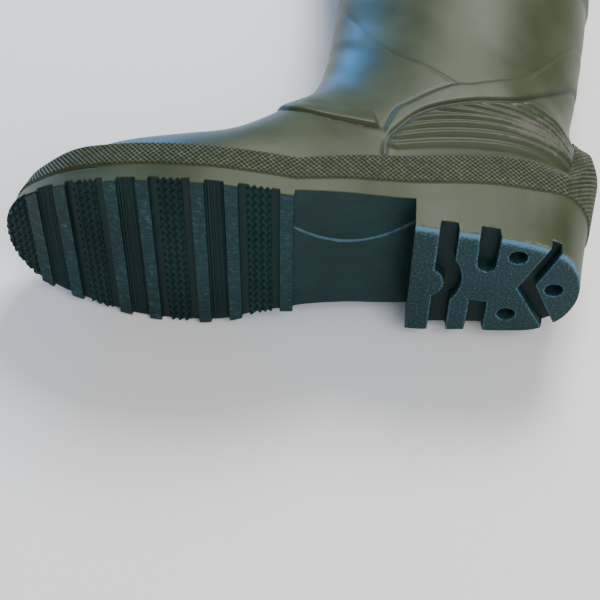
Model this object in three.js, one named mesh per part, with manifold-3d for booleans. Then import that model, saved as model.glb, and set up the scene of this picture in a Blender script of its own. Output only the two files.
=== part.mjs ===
// The boot foot of a wader with its slack leg, left foot, lying on its inner side.
// Directions used here: "along" runs from the heel to the toe, "up" from the tread to the
// shaft, and "out" towards the outer side of the foot. In the model along is -X, up is +Y
// and out is +Z, so that the inner side lies on the ground. Lengths are in millimetres.
import * as THREE from "three";
import { mergeVertices } from "three/addons/utils/BufferGeometryUtils.js";
import Module from "manifold-3d";

const wasm = await Module();
wasm.setup();

// Driving sizes of the foot and shaft
const FOOT_LENGTH = 306;
const BALL_WIDTH = 111;
const SHAFT_HEIGHT = 262;
const HEEL_HEIGHT = 17.5;
const HEEL_LENGTH = 86;
const TOE_SPRING = 17;
const UPPER_WALL = 2.2;
const GAP = 0.3;

// Driving sizes of the sole
const PLATE = 8.5;
const TREAD_DEPTH = 2.7;
const PAD_DEPTH = 0.9;
const BAR_WIDTH = 6.7;
const ZIGZAG_WIDTH = 20.3;
const ZIGZAG_MARGIN = 4.2;
const RIBBED_WIDTH = 9.7;
const WAIST_FRONT = 4;
const WAIST_PAD = 1.2;
const TOE_PAD_LEAST = 12;
const SLOT_DEPTH = 5.8;
const STUD_HOLE = 9;
const SKIN = 1.2;
const SIDE_THICKNESS = 4;

// Driving sizes of the band round the sole
const LINE_TOE = 10.5;
const LINE_HEEL = 35;
const BAND_TOE = 27;
const BAND_HEEL = 58;
const BAND_RAISE = 1;
const KICK_TOP = 105;
const KICK_BULGE = 10.5;
const TOE_LEAN = 8;

// Driving sizes of the raised work on the upper, the insole and the leg
const COUNTER_RAISE = 0.8;
const RIB_RAISE = 1.5;
const ANKLE_RAISE = 1.5;
const BACK_PAD_RAISE = 1.5;
const INSOLE = 3.5;
const INSOLE_MARGIN = 7;
const LASTING_MARGIN = 12;
const LEG_TOP = 680;
const LEG_OVERLAP = 22;
const LEG_WALL = 1.2;
const HEM_THICKNESS = 45;
const HEM_WIDTH = 246;
const HEM_SHIFT = 4;

// Colours
const OLIVE = 0x6a7359;
const DARK_GREEN = 0x24413f;
const LEG_GREEN = 0x5d6650;
const GREY_FELT = 0x55574e;

// How finely the curved forms are divided
const RING = 24;
const OUTLINE_POINTS = 54;
const LEG_RING = 24;
const LEG_SECTIONS = 12;
const SEAT_STEPS = 30;
const CURVE_STEPS = 10;
const CIRCLE_STEPS = 24;
const RIB_STEPS = 4;

// Places along the foot where a form starts or ends, as shares of the foot length.
const ALONG = {
  heelBack: 0.038,
  seatHigh: 0.196,
  seatLow: 0.572,
  treadStart: 0.514,
  springStart: 0.693,
  toeEnd: 1.012,
  bandHigh: 0.111,
  bandLow: 0.513,
  kickFull: 0.030,
  kickGone: 0.075,
  bulgeFull: 0.040,
  bulgeGone: 0.145,
  leanStart: 0.850,
  leanFull: 0.990,
};

// How curves bend: powers and shares without a length.
const SPRING_POWER = 1.8;
const KICK = { peak: 0.64, lowerPower: 1.2, upperPower: 1.6, overhang: 1.25 };
const LEG_SHAPE = { square: 2.1, slackPower: 1.15, foldStart: 0.12 };
const WAIST_PAD_OUTER = { narrow: 0.135, narrowAt: 0.45, widening: 0.45 };
const WAIST_PAD_INNER = { narrow: 0.165, widening: 0.13 };

// Sections of the upper from the toe up to the shaft. Each lies in a plane that fans round
// the instep, from a base on the sole or the back to a top on the ridge. Along places are
// shares of the foot length, rise and top of the shaft height, outer and inner of the ball
// width. Widest is the share of the section where it is widest, low and high its squareness.
// Above the level rise a section lies flat.
const LEVEL_RISE = 0.85;
const FORM_COLUMNS = ["baseAlong", "rise", "topAlong", "top", "outer", "inner", "widest", "low", "high"];
const FORM = [
  [0.983, 0.012, 0.972, 0.140, 0.000, 0.110, 0.50, 2.0, 2.0],
  [0.978, 0.000, 0.962, 0.157, 0.085, 0.195, 0.48, 2.2, 2.0],
  [0.960, 0.000, 0.943, 0.174, 0.180, 0.270, 0.42, 2.8, 2.0],
  [0.928, 0.000, 0.912, 0.192, 0.275, 0.335, 0.36, 3.5, 2.0],
  [0.880, 0.000, 0.866, 0.209, 0.378, 0.384, 0.31, 4.0, 1.9],
  [0.817, 0.000, 0.795, 0.221, 0.473, 0.414, 0.28, 4.5, 1.9],
  [0.735, 0.000, 0.712, 0.235, 0.527, 0.428, 0.27, 4.5, 1.9],
  [0.654, 0.000, 0.630, 0.262, 0.540, 0.414, 0.26, 4.5, 1.9],
  [0.572, 0.000, 0.578, 0.324, 0.518, 0.351, 0.25, 4.0, 1.9],
  [0.490, 0.000, 0.541, 0.390, 0.473, 0.302, 0.28, 3.5, 1.9],
  [0.399, 0.000, 0.515, 0.443, 0.414, 0.324, 0.32, 3.2, 1.9],
  [0.310, 0.000, 0.502, 0.505, 0.374, 0.347, 0.38, 2.9, 1.9],
  [0.216, 0.000, 0.495, 0.550, 0.369, 0.356, 0.46, 2.7, 2.0],
  [0.124, 0.004, 0.491, 0.588, 0.374, 0.369, 0.52, 2.5, 2.0],
  [0.067, 0.020, 0.489, 0.615, 0.378, 0.374, 0.54, 2.4, 2.1],
  [0.032, 0.075, 0.487, 0.640, 0.382, 0.380, 0.54, 2.3, 2.1],
  [0.022, 0.145, 0.486, 0.668, 0.384, 0.384, 0.52, 2.2, 2.1],
  [0.030, 0.225, 0.485, 0.697, 0.388, 0.388, 0.52, 2.1, 2.1],
  [0.044, 0.305, 0.484, 0.727, 0.394, 0.394, 0.52, 2.1, 2.1],
  [0.042, 0.370, 0.483, 0.758, 0.400, 0.400, 0.51, 2.1, 2.1],
  [0.031, 0.450, 0.482, 0.796, 0.410, 0.410, 0.51, 2.1, 2.1],
  [0.021, 0.555, 0.481, 0.840, 0.422, 0.422, 0.50, 2.1, 2.1],
  [0.007, 0.670, 0.480, 0.880, 0.434, 0.434, 0.50, 2.1, 2.1],
  [-0.003, 0.808, 0.480, 0.908, 0.444, 0.444, 0.50, 2.1, 2.1],
  [-0.007, 0.900, 0.481, 1.000, 0.446, 0.446, 0.50, 2.1, 2.1],
  [-0.008, 1.060, 0.482, 1.080, 0.446, 0.446, 0.50, 2.1, 2.1],
];

// Points of the sole's outline, once round from the heel's back by the outer side:
// along as a share of the foot length, out as a share of the ball width.
const OUTLINE_COLUMNS = ["along", "out"];
const OUTLINE = [
  [0.038, 0.000], [0.047, 0.130], [0.072, 0.234], [0.114, 0.290], [0.180, 0.329], [0.248, 0.351],
  [0.320, 0.375], [0.379, 0.417], [0.425, 0.455], [0.513, 0.508], [0.601, 0.541], [0.663, 0.552],
  [0.740, 0.540], [0.800, 0.502], [0.882, 0.412], [0.935, 0.322], [0.980, 0.206], [1.005, 0.070],
  [1.012, -0.070], [1.003, -0.215], [0.977, -0.320], [0.931, -0.383], [0.882, -0.412], [0.800, -0.446],
  [0.725, -0.446], [0.660, -0.432], [0.618, -0.403], [0.575, -0.345], [0.513, -0.300], [0.431, -0.310],
  [0.370, -0.342], [0.310, -0.366], [0.216, -0.345], [0.150, -0.333], [0.098, -0.305], [0.060, -0.220],
  [0.042, -0.110],
];
const WIDEST_INNER = -Math.min(...OUTLINE.map(([, out]) => out)) * BALL_WIDTH;

// Levels of the band's outer face: 0 is the ground, 1 the parting line and 2 the band's top.
// Lift and step are shares of the raise of the textured part.
const BAND_COLUMNS = ["level", "lift", "step"];
const BAND_LEVELS = [
  [0.00, 0.0, 0.0],
  [0.50, 0.0, 0.0],
  [1.00, 0.0, 0.0],
  [1.00, 0.8, 1.0],
  [1.50, 0.4, 1.0],
  [1.93, 0.0, 1.0],
  [2.00, 0.0, 0.2],
];

// Cuts in the heel, seen from below: along as a share of the heel length from its back, out
// as a share of the ball width. The radii are shares of the heel length.
const HEEL_CUTS = {
  frontSlot: [[0.752, -0.6], [0.860, -0.6], [0.860, 0.6], [0.752, 0.6]],
  bow: [[0.680, -0.145], [0.800, -0.145], [0.800, 0.150], [0.680, 0.150]],
  outerSlot: [[0.512, 0.135], [0.525, 0.105], [0.560, 0.090], [0.600, 0.100], [0.617, 0.130],
    [0.640, 0.600], [0.510, 0.600]],
  innerSlot: [[0.530, -0.130], [0.530, -0.600], [0.640, -0.600], [0.630, -0.120]],
  groove: [[0.139, 0.420], [0.362, -0.014], [0.095, -0.400], [0.028, -0.400], [0.265, 0.016],
    [0.067, 0.420]],
};
const BOW_CIRCLE = { along: 1.051, out: 0.012, radius: 0.35 };
const BOSS_CIRCLE = { along: 0.948, out: -0.018, radius: 0.15 };
const STUD_HOLES = [[0.393, 0.200], [0.151, -0.010], [0.401, -0.207]];

// Curves of the upper's side, seen square on: along as a share of the foot length, up as a
// share of the shaft height.
const COUNTER_EDGE = [
  [0.040, 0.300], [0.385, 0.130], [0.377, 0.256], [0.360, 0.308], [0.334, 0.333], [0.299, 0.363],
  [0.259, 0.387], [0.224, 0.393], [0.147, 0.434], [0.104, 0.492], [0.036, 0.615], [-0.100, 0.760],
  [-0.100, 0.300],
];
const BAND_EDGE = [
  [0.388, 0.247], [0.438, 0.255], [0.487, 0.261], [0.526, 0.272], [0.552, 0.295], [0.575, 0.335],
  [0.640, 0.420], [0.600, 0.480], [0.539, 0.400], [0.522, 0.347], [0.474, 0.321], [0.404, 0.318],
];
const BACK_PAD_EDGE = [[-0.100, 0.798], [0.060, 0.798], [0.060, 0.866], [-0.100, 0.866]];

// Ribs of the counter: each runs from its front by a bow to its back. Thickness is a share
// of the shaft height.
const RIB_COLUMNS = ["frontAlong", "frontUp", "bowAlong", "bowUp", "backAlong", "backUp"];
const RIB_THICKNESS = 0.014;
const RIBS = [
  [0.369, 0.200, 0.244, 0.231, 0.120, 0.229],
  [0.368, 0.224, 0.244, 0.256, 0.100, 0.250],
  [0.358, 0.248, 0.244, 0.279, 0.082, 0.267],
  [0.346, 0.271, 0.245, 0.297, 0.092, 0.281],
  [0.293, 0.318, 0.207, 0.308, 0.112, 0.294],
  [0.269, 0.336, 0.197, 0.323, 0.112, 0.306],
  [0.222, 0.345, 0.170, 0.336, 0.106, 0.319],
  [0.187, 0.354, 0.148, 0.347, 0.104, 0.333],
  [0.155, 0.364, 0.128, 0.359, 0.098, 0.348],
];

// Soft folds pressed into the top of the leg: places as shares of the leg's free length and
// of its half width, depth as a share of the hem's thickness.
const FOLD_COLUMNS = ["startUp", "startAcross", "endUp", "endAcross", "spread", "depth"];
const FOLDS = [
  [0.05, -0.90, 0.38, 0.25, 0.055, 0.26],
  [0.18, 0.85, 0.50, -0.10, 0.050, 0.22],
  [0.48, -0.80, 0.95, -0.15, 0.060, 0.20],
  [0.60, 0.80, 1.05, 0.30, 0.055, 0.18],
];

const named = (columns, rows) => rows.map(
  (row) => Object.fromEntries(columns.map((column, index) => [column, row[index]])));

const clamp = THREE.MathUtils.clamp;
const smooth = THREE.MathUtils.smoothstep;

// A circle's cosine or sine, squared off by an exponent above 2.
function rounded(value, square) {
  return Math.sign(value) * Math.abs(value) ** (2 / square);
}

function at(along, out, up) {
  return new THREE.Vector3(-along, up, out);
}

// Turns a list of points and triangles into a solid that faces outwards.
function solidFrom(points, triangles) {
  let volume = 0;
  for (const [a, b, c] of triangles) {
    volume += points[a].dot(new THREE.Vector3().crossVectors(points[b], points[c]));
  }
  const faces = volume < 0 ? triangles.map(([a, b, c]) => [a, c, b]) : triangles;
  const geometry = new THREE.BufferGeometry().setFromPoints(points);
  geometry.setIndex(faces.flat());
  return solidOf(geometry);
}

function solidOf(geometry) {
  const bare = geometry.clone();
  bare.deleteAttribute("normal");
  bare.deleteAttribute("uv");
  const merged = mergeVertices(bare, 1e-4);
  return new wasm.Manifold(new wasm.Mesh({
    numProp: 3,
    vertProperties: new Float32Array(merged.attributes.position.array),
    triVerts: new Uint32Array(merged.index.array),
  }));
}

// Joins closed rings of points, one after another, and closes both ends with a fan.
function loft(rings) {
  const count = rings[0].length;
  const points = rings.flat();
  const triangles = [];
  for (let ring = 0; ring + 1 < rings.length; ring += 1) {
    for (let step = 0; step < count; step += 1) {
      const here = ring * count + step;
      const next = ring * count + (step + 1) % count;
      triangles.push([here, next, here + count], [next, next + count, here + count]);
    }
  }
  for (const [ring, start] of [[rings[0], 0], [rings.at(-1), points.length - count]]) {
    const centre = ring.reduce((sum, point) => sum.add(point), new THREE.Vector3()).divideScalar(count);
    const hub = points.push(centre) - 1;
    for (let step = 0; step < count; step += 1) {
      const pair = [start + step, start + (step + 1) % count];
      triangles.push(start === 0 ? [pair[1], pair[0], hub] : [pair[0], pair[1], hub]);
    }
  }
  return { points, triangles };
}

// Moves every point of a form outwards along its normal.
function grown(form, amount) {
  const geometry = new THREE.BufferGeometry().setFromPoints(form.points);
  geometry.setIndex(form.triangles.flat());
  geometry.computeVertexNormals();
  const normal = geometry.attributes.normal;
  const sign = signedVolume(form) < 0 ? -1 : 1;
  const points = form.points.map((point, index) => point.clone().addScaledVector(
    new THREE.Vector3().fromBufferAttribute(normal, index), sign * amount));
  return { points, triangles: form.triangles };
}

function signedVolume(form) {
  return form.triangles.reduce((sum, [a, b, c]) => sum + form.points[a].dot(
    new THREE.Vector3().crossVectors(form.points[b], form.points[c])), 0);
}

const solid = (form) => solidFrom(form.points, form.triangles);

function box(low, high) {
  const size = high.clone().sub(low);
  const geometry = new THREE.BoxGeometry(size.x, size.y, size.z);
  geometry.translate((low.x + high.x) / 2, (low.y + high.y) / 2, (low.z + high.z) / 2);
  return solidOf(geometry);
}

// A flat outline drawn on the side of the boot, carried right across it.
function acrossPrism(corners) {
  const shape = new THREE.Shape(corners.map(([along, up]) => new THREE.Vector2(-along, up)));
  const geometry = new THREE.ExtrudeGeometry(shape, { depth: 2 * BALL_WIDTH, bevelEnabled: false });
  geometry.translate(0, 0, -BALL_WIDTH);
  return solidOf(geometry);
}

// A flat outline drawn on the tread, carried upwards.
function uprightPrism(corners, low, high) {
  const shape = new THREE.Shape(corners.map(([along, out]) => new THREE.Vector2(-along, -out)));
  const geometry = new THREE.ExtrudeGeometry(shape, { depth: high - low, bevelEnabled: false });
  geometry.rotateX(-Math.PI / 2);
  geometry.translate(0, low, 0);
  return solidOf(geometry);
}

// Height of the toe spring over the ground.
function spring(along) {
  const start = ALONG.springStart * FOOT_LENGTH;
  return TOE_SPRING * Math.max(0, (along - start) / (FOOT_LENGTH - start)) ** SPRING_POWER;
}

// Where the heel starts and ends, and where the waist meets the forefoot's tread.
const HEEL_BACK = ALONG.heelBack * FOOT_LENGTH;
const BREAST = HEEL_BACK + HEEL_LENGTH;
const TREAD_START = ALONG.treadStart * FOOT_LENGTH;
const TOE_END = ALONG.toeEnd * FOOT_LENGTH;

// Height of the seat that the upper stands on.
function seat(along) {
  const fall = smooth(along, ALONG.seatHigh * FOOT_LENGTH, ALONG.seatLow * FOOT_LENGTH);
  return spring(along) + PLATE + HEEL_HEIGHT * (1 - fall);
}

function waistUp(along) {
  const share = clamp((TREAD_START - along) / (TREAD_START - BREAST), 0, 1);
  return WAIST_FRONT + (HEEL_HEIGHT - WAIST_FRONT) * share;
}

// The last's form, a loft of the fanned sections.
function bootForm() {
  const rings = named(FORM_COLUMNS, FORM).map((row) => {
    const base = [row.baseAlong * FOOT_LENGTH, 0];
    base[1] = seat(base[0]) + row.rise * (SHAFT_HEIGHT - seat(0));
    const top = [row.topAlong * FOOT_LENGTH, row.top * SHAFT_HEIGHT];
    if (row.rise > LEVEL_RISE) {
      top[1] = base[1];
    }
    const centre = (row.outer - row.inner) / 2 * BALL_WIDTH;
    const half = (row.outer + row.inner) / 2 * BALL_WIDTH;
    return Array.from({ length: RING }, (_, step) => {
      const turn = 2 * Math.PI * step / RING;
      const square = Math.sin(turn) < 0 ? row.low : row.high;
      const across = rounded(Math.cos(turn), square);
      const lift = rounded(Math.sin(turn), square);
      const share = row.widest + lift * (lift > 0 ? 1 - row.widest : row.widest);
      const along = base[0] + share * (top[0] - base[0]);
      const up = base[1] + share * (top[1] - base[1]);
      return at(along, centre + half * across, up);
    });
  });
  return loft(rings);
}

// The sole's outline as points of a smooth closed curve, moved inwards by an inset.
function soleOutline(inset) {
  const knots = named(OUTLINE_COLUMNS, OUTLINE).map(
    (row) => new THREE.Vector3(row.along * FOOT_LENGTH, row.out * BALL_WIDTH, 0));
  const curve = new THREE.CatmullRomCurve3(knots, true, "centripetal");
  return Array.from({ length: OUTLINE_POINTS }, (_, step) => {
    const share = step / OUTLINE_POINTS;
    const point = curve.getPointAt(share);
    const tangent = curve.getTangentAt(share);
    return [point.x + inset * tangent.y, point.y - inset * tangent.x];
  });
}

// Heights well under the tread and well over the seat, for cutters.
const BELOW = -2 * PLATE;
const ABOVE = SHAFT_HEIGHT;

// A slab between two heights that vary along the foot, as wide as a given prism.
function slab(prism, stops, low, high) {
  const corners = [
    ...stops.map((along) => [along, low(along)]),
    ...stops.toReversed().map((along) => [along, high(along)]),
  ];
  return prism.intersect(acrossPrism(corners));
}

// Stripes of the forefoot's tread, from the waist to the toe, as [start, end, depth].
function treadStripes() {
  const stripes = [];
  let along = TREAD_START;
  const add = (width, depth) => {
    stripes.push([along, along + width, depth]);
    along += width;
  };
  const addZigzag = () => {
    add(ZIGZAG_MARGIN, TREAD_DEPTH);
    add(ZIGZAG_WIDTH - 2 * ZIGZAG_MARGIN, PAD_DEPTH);
    add(ZIGZAG_MARGIN, TREAD_DEPTH);
  };
  add(BAR_WIDTH, 0);
  const groupLength = ZIGZAG_WIDTH + RIBBED_WIDTH + 2 * BAR_WIDTH;
  const groups = Math.floor((TOE_END - TOE_PAD_LEAST - along) / groupLength);
  for (let group = 0; group < groups; group += 1) {
    addZigzag();
    add(BAR_WIDTH, 0);
    add(RIBBED_WIDTH, TREAD_DEPTH);
    add(BAR_WIDTH, 0);
  }
  add(TOE_END + PLATE - along, PAD_DEPTH);
  return stripes;
}

// Stops along the sole with the underside's height just there, steps included.
function undersidePath() {
  const waist = [[BREAST, waistUp(BREAST)], [TREAD_START, waistUp(TREAD_START)]];
  const path = [[-FOOT_LENGTH, 0], [BREAST, 0], ...waist];
  for (const [start, end, depth] of treadStripes()) {
    const pieces = Math.max(1, Math.round((end - start) / BAR_WIDTH));
    for (let piece = 0; piece <= pieces; piece += 1) {
      const along = start + (end - start) * piece / pieces;
      path.push([along, depth + spring(along)]);
    }
  }
  return path;
}

// The space between the underside, raised by an offset, and the seat, raised by another.
function soleProfile(under, over) {
  const path = undersidePath().map(([along, up]) => [along, up + under]);
  const stops = seatStops(path.at(-1)[0]).toReversed();
  const back = [-FOOT_LENGTH, seat(0) + over];
  return acrossPrism([...path, ...stops.map((along) => [along, seat(along) + over]), back]);
}

// Slots, the V groove and the stud holes of the heel, as one cutter.
function heelCutter() {
  const onHeel = ([along, out]) => [HEEL_BACK + along * HEEL_LENGTH, out * BALL_WIDTH];
  const prism = (corners) => uprightPrism(corners.map(onHeel), BELOW, SLOT_DEPTH);
  const disc = (centre, radius, high) => {
    const [along, out] = onHeel(centre);
    const corners = Array.from({ length: CIRCLE_STEPS }, (_, step) => {
      const turn = 2 * Math.PI * step / CIRCLE_STEPS;
      return [along + radius * Math.cos(turn), out + radius * Math.sin(turn)];
    });
    return uprightPrism(corners, BELOW, high);
  };
  const round = (circle, high) => disc([circle.along, circle.out], circle.radius * HEEL_LENGTH, high);
  const bow = round(BOW_CIRCLE, SLOT_DEPTH).intersect(prism(HEEL_CUTS.bow));
  const front = prism(HEEL_CUTS.frontSlot).add(bow).subtract(round(BOSS_CIRCLE, 2 * SLOT_DEPTH));
  const cuts = [HEEL_CUTS.outerSlot, HEEL_CUTS.innerSlot, HEEL_CUTS.groove].map(prism);
  const holes = STUD_HOLES.map((centre) => disc(centre, STUD_HOLE / 2, SLOT_DEPTH));
  return [...cuts, ...holes].reduce((sum, cut) => sum.add(cut), front);
}

// Share of the way from the forefoot's band to the heel's higher band.
function bandRise(along) {
  const start = ALONG.bandLow * FOOT_LENGTH;
  const end = ALONG.bandHigh * FOOT_LENGTH;
  return Math.sin(Math.PI / 2 * clamp((start - along) / (start - end), 0, 1));
}

const lineUp = (along) => spring(along) + LINE_TOE + (LINE_HEEL - LINE_TOE) * bandRise(along);

function bandTop(along) {
  const kick = 1 - smooth(along, ALONG.kickFull * FOOT_LENGTH, ALONG.kickGone * FOOT_LENGTH);
  const plain = BAND_TOE + (BAND_HEEL - BAND_TOE) * bandRise(along);
  return spring(along) + plain + (KICK_TOP - BAND_HEEL) * kick;
}

// How far the heel's back stands out over its tread, at a height.
function kickBulge(along, up) {
  const peak = KICK.peak * KICK_TOP;
  const below = (clamp(up, 0, peak) / peak) ** KICK.lowerPower;
  const over = clamp((up - peak) / (KICK_TOP - peak), 0, 1) ** KICK.upperPower;
  const share = 1 - smooth(along, ALONG.bulgeFull * FOOT_LENGTH, ALONG.bulgeGone * FOOT_LENGTH);
  return KICK_BULGE * share * Math.min(below, 1 - KICK.overhang * over);
}

// How far the toe leans back at a height.
function toeLean(along, up) {
  const share = clamp((up - spring(along)) / (bandTop(along) - spring(along)), 0, 1);
  return TOE_LEAN * share * smooth(along, ALONG.leanStart * FOOT_LENGTH, ALONG.leanFull * FOOT_LENGTH);
}

// The outer body of the band: levels of the outline, from under the tread to its top.
function bandBody() {
  const flat = soleOutline(0);
  const ring = (heightAt, step) => flat.map(([along, out], index) => {
    const height = heightAt(along);
    const outset = step + kickBulge(along, height) - toeLean(along, height);
    const before = flat.at(index - 1);
    const after = flat[(index + 1) % flat.length];
    const tangent = new THREE.Vector2(after[0] - before[0], after[1] - before[1]).normalize();
    return at(along - outset * tangent.y, out + outset * tangent.x, height);
  });
  const rings = named(BAND_COLUMNS, BAND_LEVELS).map((row) => ring((along) => {
    const line = lineUp(along);
    const textured = Math.max(0, row.level - 1) * (bandTop(along) - line);
    return Math.min(1, row.level) * line + textured + row.lift * BAND_RAISE;
  }, row.step * BAND_RAISE));
  return loft([ring(() => BELOW, 0), ...rings]);
}

const form = bootForm();
const core = uprightPrism(soleOutline(SIDE_THICKNESS), BELOW, ABOVE);
const opening = uprightPrism(soleOutline(LASTING_MARGIN), BELOW, ABOVE);
const plug = uprightPrism(soleOutline(LASTING_MARGIN + GAP), BELOW, ABOVE);
const full = uprightPrism(soleOutline(0), BELOW, ABOVE);
const overUpper = solid(grown(form, GAP));

// Stops along the seat from behind the heel to an end.
function seatStops(end) {
  const start = -HEEL_BACK;
  return Array.from({ length: SEAT_STEPS + 1 }, (_, step) => start + (end - start) * step / SEAT_STEPS);
}

// The curved middle of the waist, standing a little proud of it.
function waistPad() {
  const shares = Array.from({ length: CURVE_STEPS + 1 }, (_, step) => step / CURVE_STEPS);
  const edge = (halfWidth) => shares.map(
    (share) => [BREAST + share * (TREAD_START - BREAST), BALL_WIDTH * halfWidth(share)]);
  const outer = edge((share) => WAIST_PAD_OUTER.narrow
    + WAIST_PAD_OUTER.widening * (share - WAIST_PAD_OUTER.narrowAt) ** 2);
  const inner = edge((share) => -WAIST_PAD_INNER.narrow - WAIST_PAD_INNER.widening * (1 - share) ** 2);
  const prism = uprightPrism([...outer, ...inner.reverse()], BELOW, ABOVE);
  const low = (along) => waistUp(along) - WAIST_PAD;
  const high = (along) => waistUp(along) + SKIN;
  return slab(prism, [BREAST - GAP, TREAD_START + GAP], low, high);
}

function outsole() {
  const skin = full.intersect(soleProfile(0, 0)).subtract(soleProfile(SKIN, 2 * SHAFT_HEIGHT));
  const plate = core.intersect(soleProfile(0, UPPER_WALL)).subtract(overUpper);
  const filling = plug.intersect(soleProfile(SKIN, UPPER_WALL));
  return skin.add(plate).add(filling).add(waistPad()).subtract(heelCutter());
}

function sidewall() {
  const inside = uprightPrism(soleOutline(SIDE_THICKNESS - GAP), BELOW, ABOVE);
  const kept = soleProfile(SKIN + GAP, 2 * SHAFT_HEIGHT);
  const plate = inside.intersect(soleProfile(-PLATE, UPPER_WALL + GAP));
  return solid(bandBody()).intersect(kept).subtract(plate).subtract(overUpper).subtract(heelCutter());
}

const onSide = (corners) => corners.map(([along, up]) => [along * FOOT_LENGTH, up * SHAFT_HEIGHT]);

// A rib's outline: a bowed line through three places, with a rounded thickness.
function ribOutline(rib) {
  const [front, bow, back] = onSide([
    [rib.frontAlong, rib.frontUp], [rib.bowAlong, rib.bowUp], [rib.backAlong, rib.backUp],
  ]).map(([along, up]) => new THREE.Vector2(along, up));
  const pull = bow.clone().multiplyScalar(2).sub(front.clone().add(back).divideScalar(2));
  const curve = new THREE.QuadraticBezierCurve(front, pull, back);
  const side = (sign) => Array.from({ length: RIB_STEPS + 1 }, (_, step) => {
    const share = step / RIB_STEPS;
    const point = curve.getPoint(share);
    const tangent = curve.getTangent(share);
    const rounding = Math.sqrt(Math.sin(Math.PI * (0.05 + 0.9 * share)));
    const half = sign * rounding * RIB_THICKNESS / 2 * SHAFT_HEIGHT;
    return [point.x - half * tangent.y, point.y + half * tangent.x];
  });
  return [...side(1), ...side(-1).reverse()];
}

function upper() {
  const raised = (step, corners) => solid(grown(form, step)).intersect(acrossPrism(corners));
  const ribs = named(RIB_COLUMNS, RIBS).map((rib) => acrossPrism(ribOutline(rib)));
  const ribWork = solid(grown(form, RIB_RAISE)).intersect(ribs.reduce((sum, rib) => sum.add(rib)));
  const work = ribWork
    .add(raised(COUNTER_RAISE, onSide(COUNTER_EDGE)))
    .add(raised(ANKLE_RAISE, onSide(BAND_EDGE)))
    .add(raised(BACK_PAD_RAISE, onSide(BACK_PAD_EDGE)));
  const outer = solid(form).add(work.subtract(solid(grown(bandBody(), GAP))));
  const lid = box(at(FOOT_LENGTH, -BALL_WIDTH, SHAFT_HEIGHT), at(-FOOT_LENGTH, BALL_WIDTH, 2 * SHAFT_HEIGHT));
  const base = slab(opening, seatStops(TOE_END), () => BELOW, (along) => seat(along) + 2 * UPPER_WALL);
  return outer.subtract(solid(grown(form, -UPPER_WALL))).subtract(lid).subtract(base);
}

function insole() {
  const hollow = solid(grown(form, -UPPER_WALL - GAP));
  const outline = uprightPrism(soleOutline(INSOLE_MARGIN), BELOW, ABOVE);
  const floor = (along) => seat(along) + UPPER_WALL + GAP;
  return slab(outline.intersect(hollow), seatStops(TOE_END), floor, (along) => floor(along) + INSOLE);
}

// The ground under the boot's inner side, level with the leg and the band.
const GROUND = -(WIDEST_INNER + BAND_RAISE);

// Heights of the leg's sections, from its lower edge on the shaft to its hem.
function legStations() {
  const section = (LEG_TOP - SHAFT_HEIGHT) / LEG_SECTIONS;
  const free = Array.from({ length: LEG_SECTIONS }, (_, step) => SHAFT_HEIGHT + (step + 1) * section);
  return [SHAFT_HEIGHT - LEG_OVERLAP, SHAFT_HEIGHT - 2 * LEG_WALL, ...free];
}

// One skin of the leg: flat on the ground, from the shaft to the hem.
function legForm(inset, stations) {
  const shaft = named(FORM_COLUMNS, FORM).at(-1);
  const shaftHalf = (shaft.topAlong - shaft.baseAlong) / 2 * FOOT_LENGTH + GAP + LEG_WALL;
  const shaftMiddle = (shaft.topAlong + shaft.baseAlong) / 2 * FOOT_LENGTH;
  const shaftThick = (shaft.outer + shaft.inner) * BALL_WIDTH + 2 * (GAP + LEG_WALL);
  const rings = stations.map((up) => {
    const share = clamp((up - SHAFT_HEIGHT) / (LEG_TOP - SHAFT_HEIGHT), 0, 1);
    const slack = Math.sin(Math.PI / 2 * share) ** LEG_SHAPE.slackPower;
    const half = shaftHalf + (HEM_WIDTH / 2 - shaftHalf) * slack;
    const thick = shaftThick + (HEM_THICKNESS - shaftThick) * slack;
    const centre = shaftMiddle + HEM_SHIFT * slack;
    return Array.from({ length: LEG_RING }, (_, place) => {
      const turn = 2 * Math.PI * place / LEG_RING;
      const across = rounded(Math.cos(turn), LEG_SHAPE.square);
      const lift = rounded(Math.sin(turn), LEG_SHAPE.square);
      const pressed = lift > 0 ? lift * foldDepth(share, across) : 0;
      const out = GROUND + thick / 2 + (thick / 2 - inset) * lift - pressed;
      return at(centre + (half - inset) * across, out, up);
    });
  });
  return loft(rings);
}

// Depth of the folds at a place on the leg's top.
function foldDepth(share, across) {
  const wide = HEM_WIDTH / 2 / (LEG_TOP - SHAFT_HEIGHT);
  const depth = named(FOLD_COLUMNS, FOLDS).reduce((sum, fold) => {
    const run = new THREE.Vector2(fold.endUp - fold.startUp, wide * (fold.endAcross - fold.startAcross));
    const here = new THREE.Vector2(share - fold.startUp, wide * (across - fold.startAcross));
    const reach = clamp(here.dot(run) / run.lengthSq(), 0, 1);
    const away = here.addScaledVector(run, -reach).length() / fold.spread;
    return sum + fold.depth * HEM_THICKNESS * Math.exp(-away * away) * Math.sin(Math.PI * reach) ** 0.5;
  }, 0);
  return depth * smooth(share, 0, LEG_SHAPE.foldStart);
}

function leg() {
  const stations = legStations();
  const outer = solid(legForm(0, stations));
  const inner = solid(legForm(LEG_WALL, [...stations.slice(1), LEG_TOP + LEG_WALL]));
  return outer.subtract(inner).subtract(overUpper);
}

function meshOf(name, body, color, roughness) {
  const mesh = body.getMesh();
  const geometry = new THREE.BufferGeometry();
  geometry.setAttribute("position", new THREE.BufferAttribute(new Float32Array(mesh.vertProperties), 3));
  geometry.setIndex(new THREE.BufferAttribute(new Uint32Array(mesh.triVerts), 1));
  geometry.computeVertexNormals();
  const material = new THREE.MeshStandardMaterial({ color, roughness, metalness: 0 });
  const result = new THREE.Mesh(geometry, material);
  result.name = name;
  return result;
}

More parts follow.
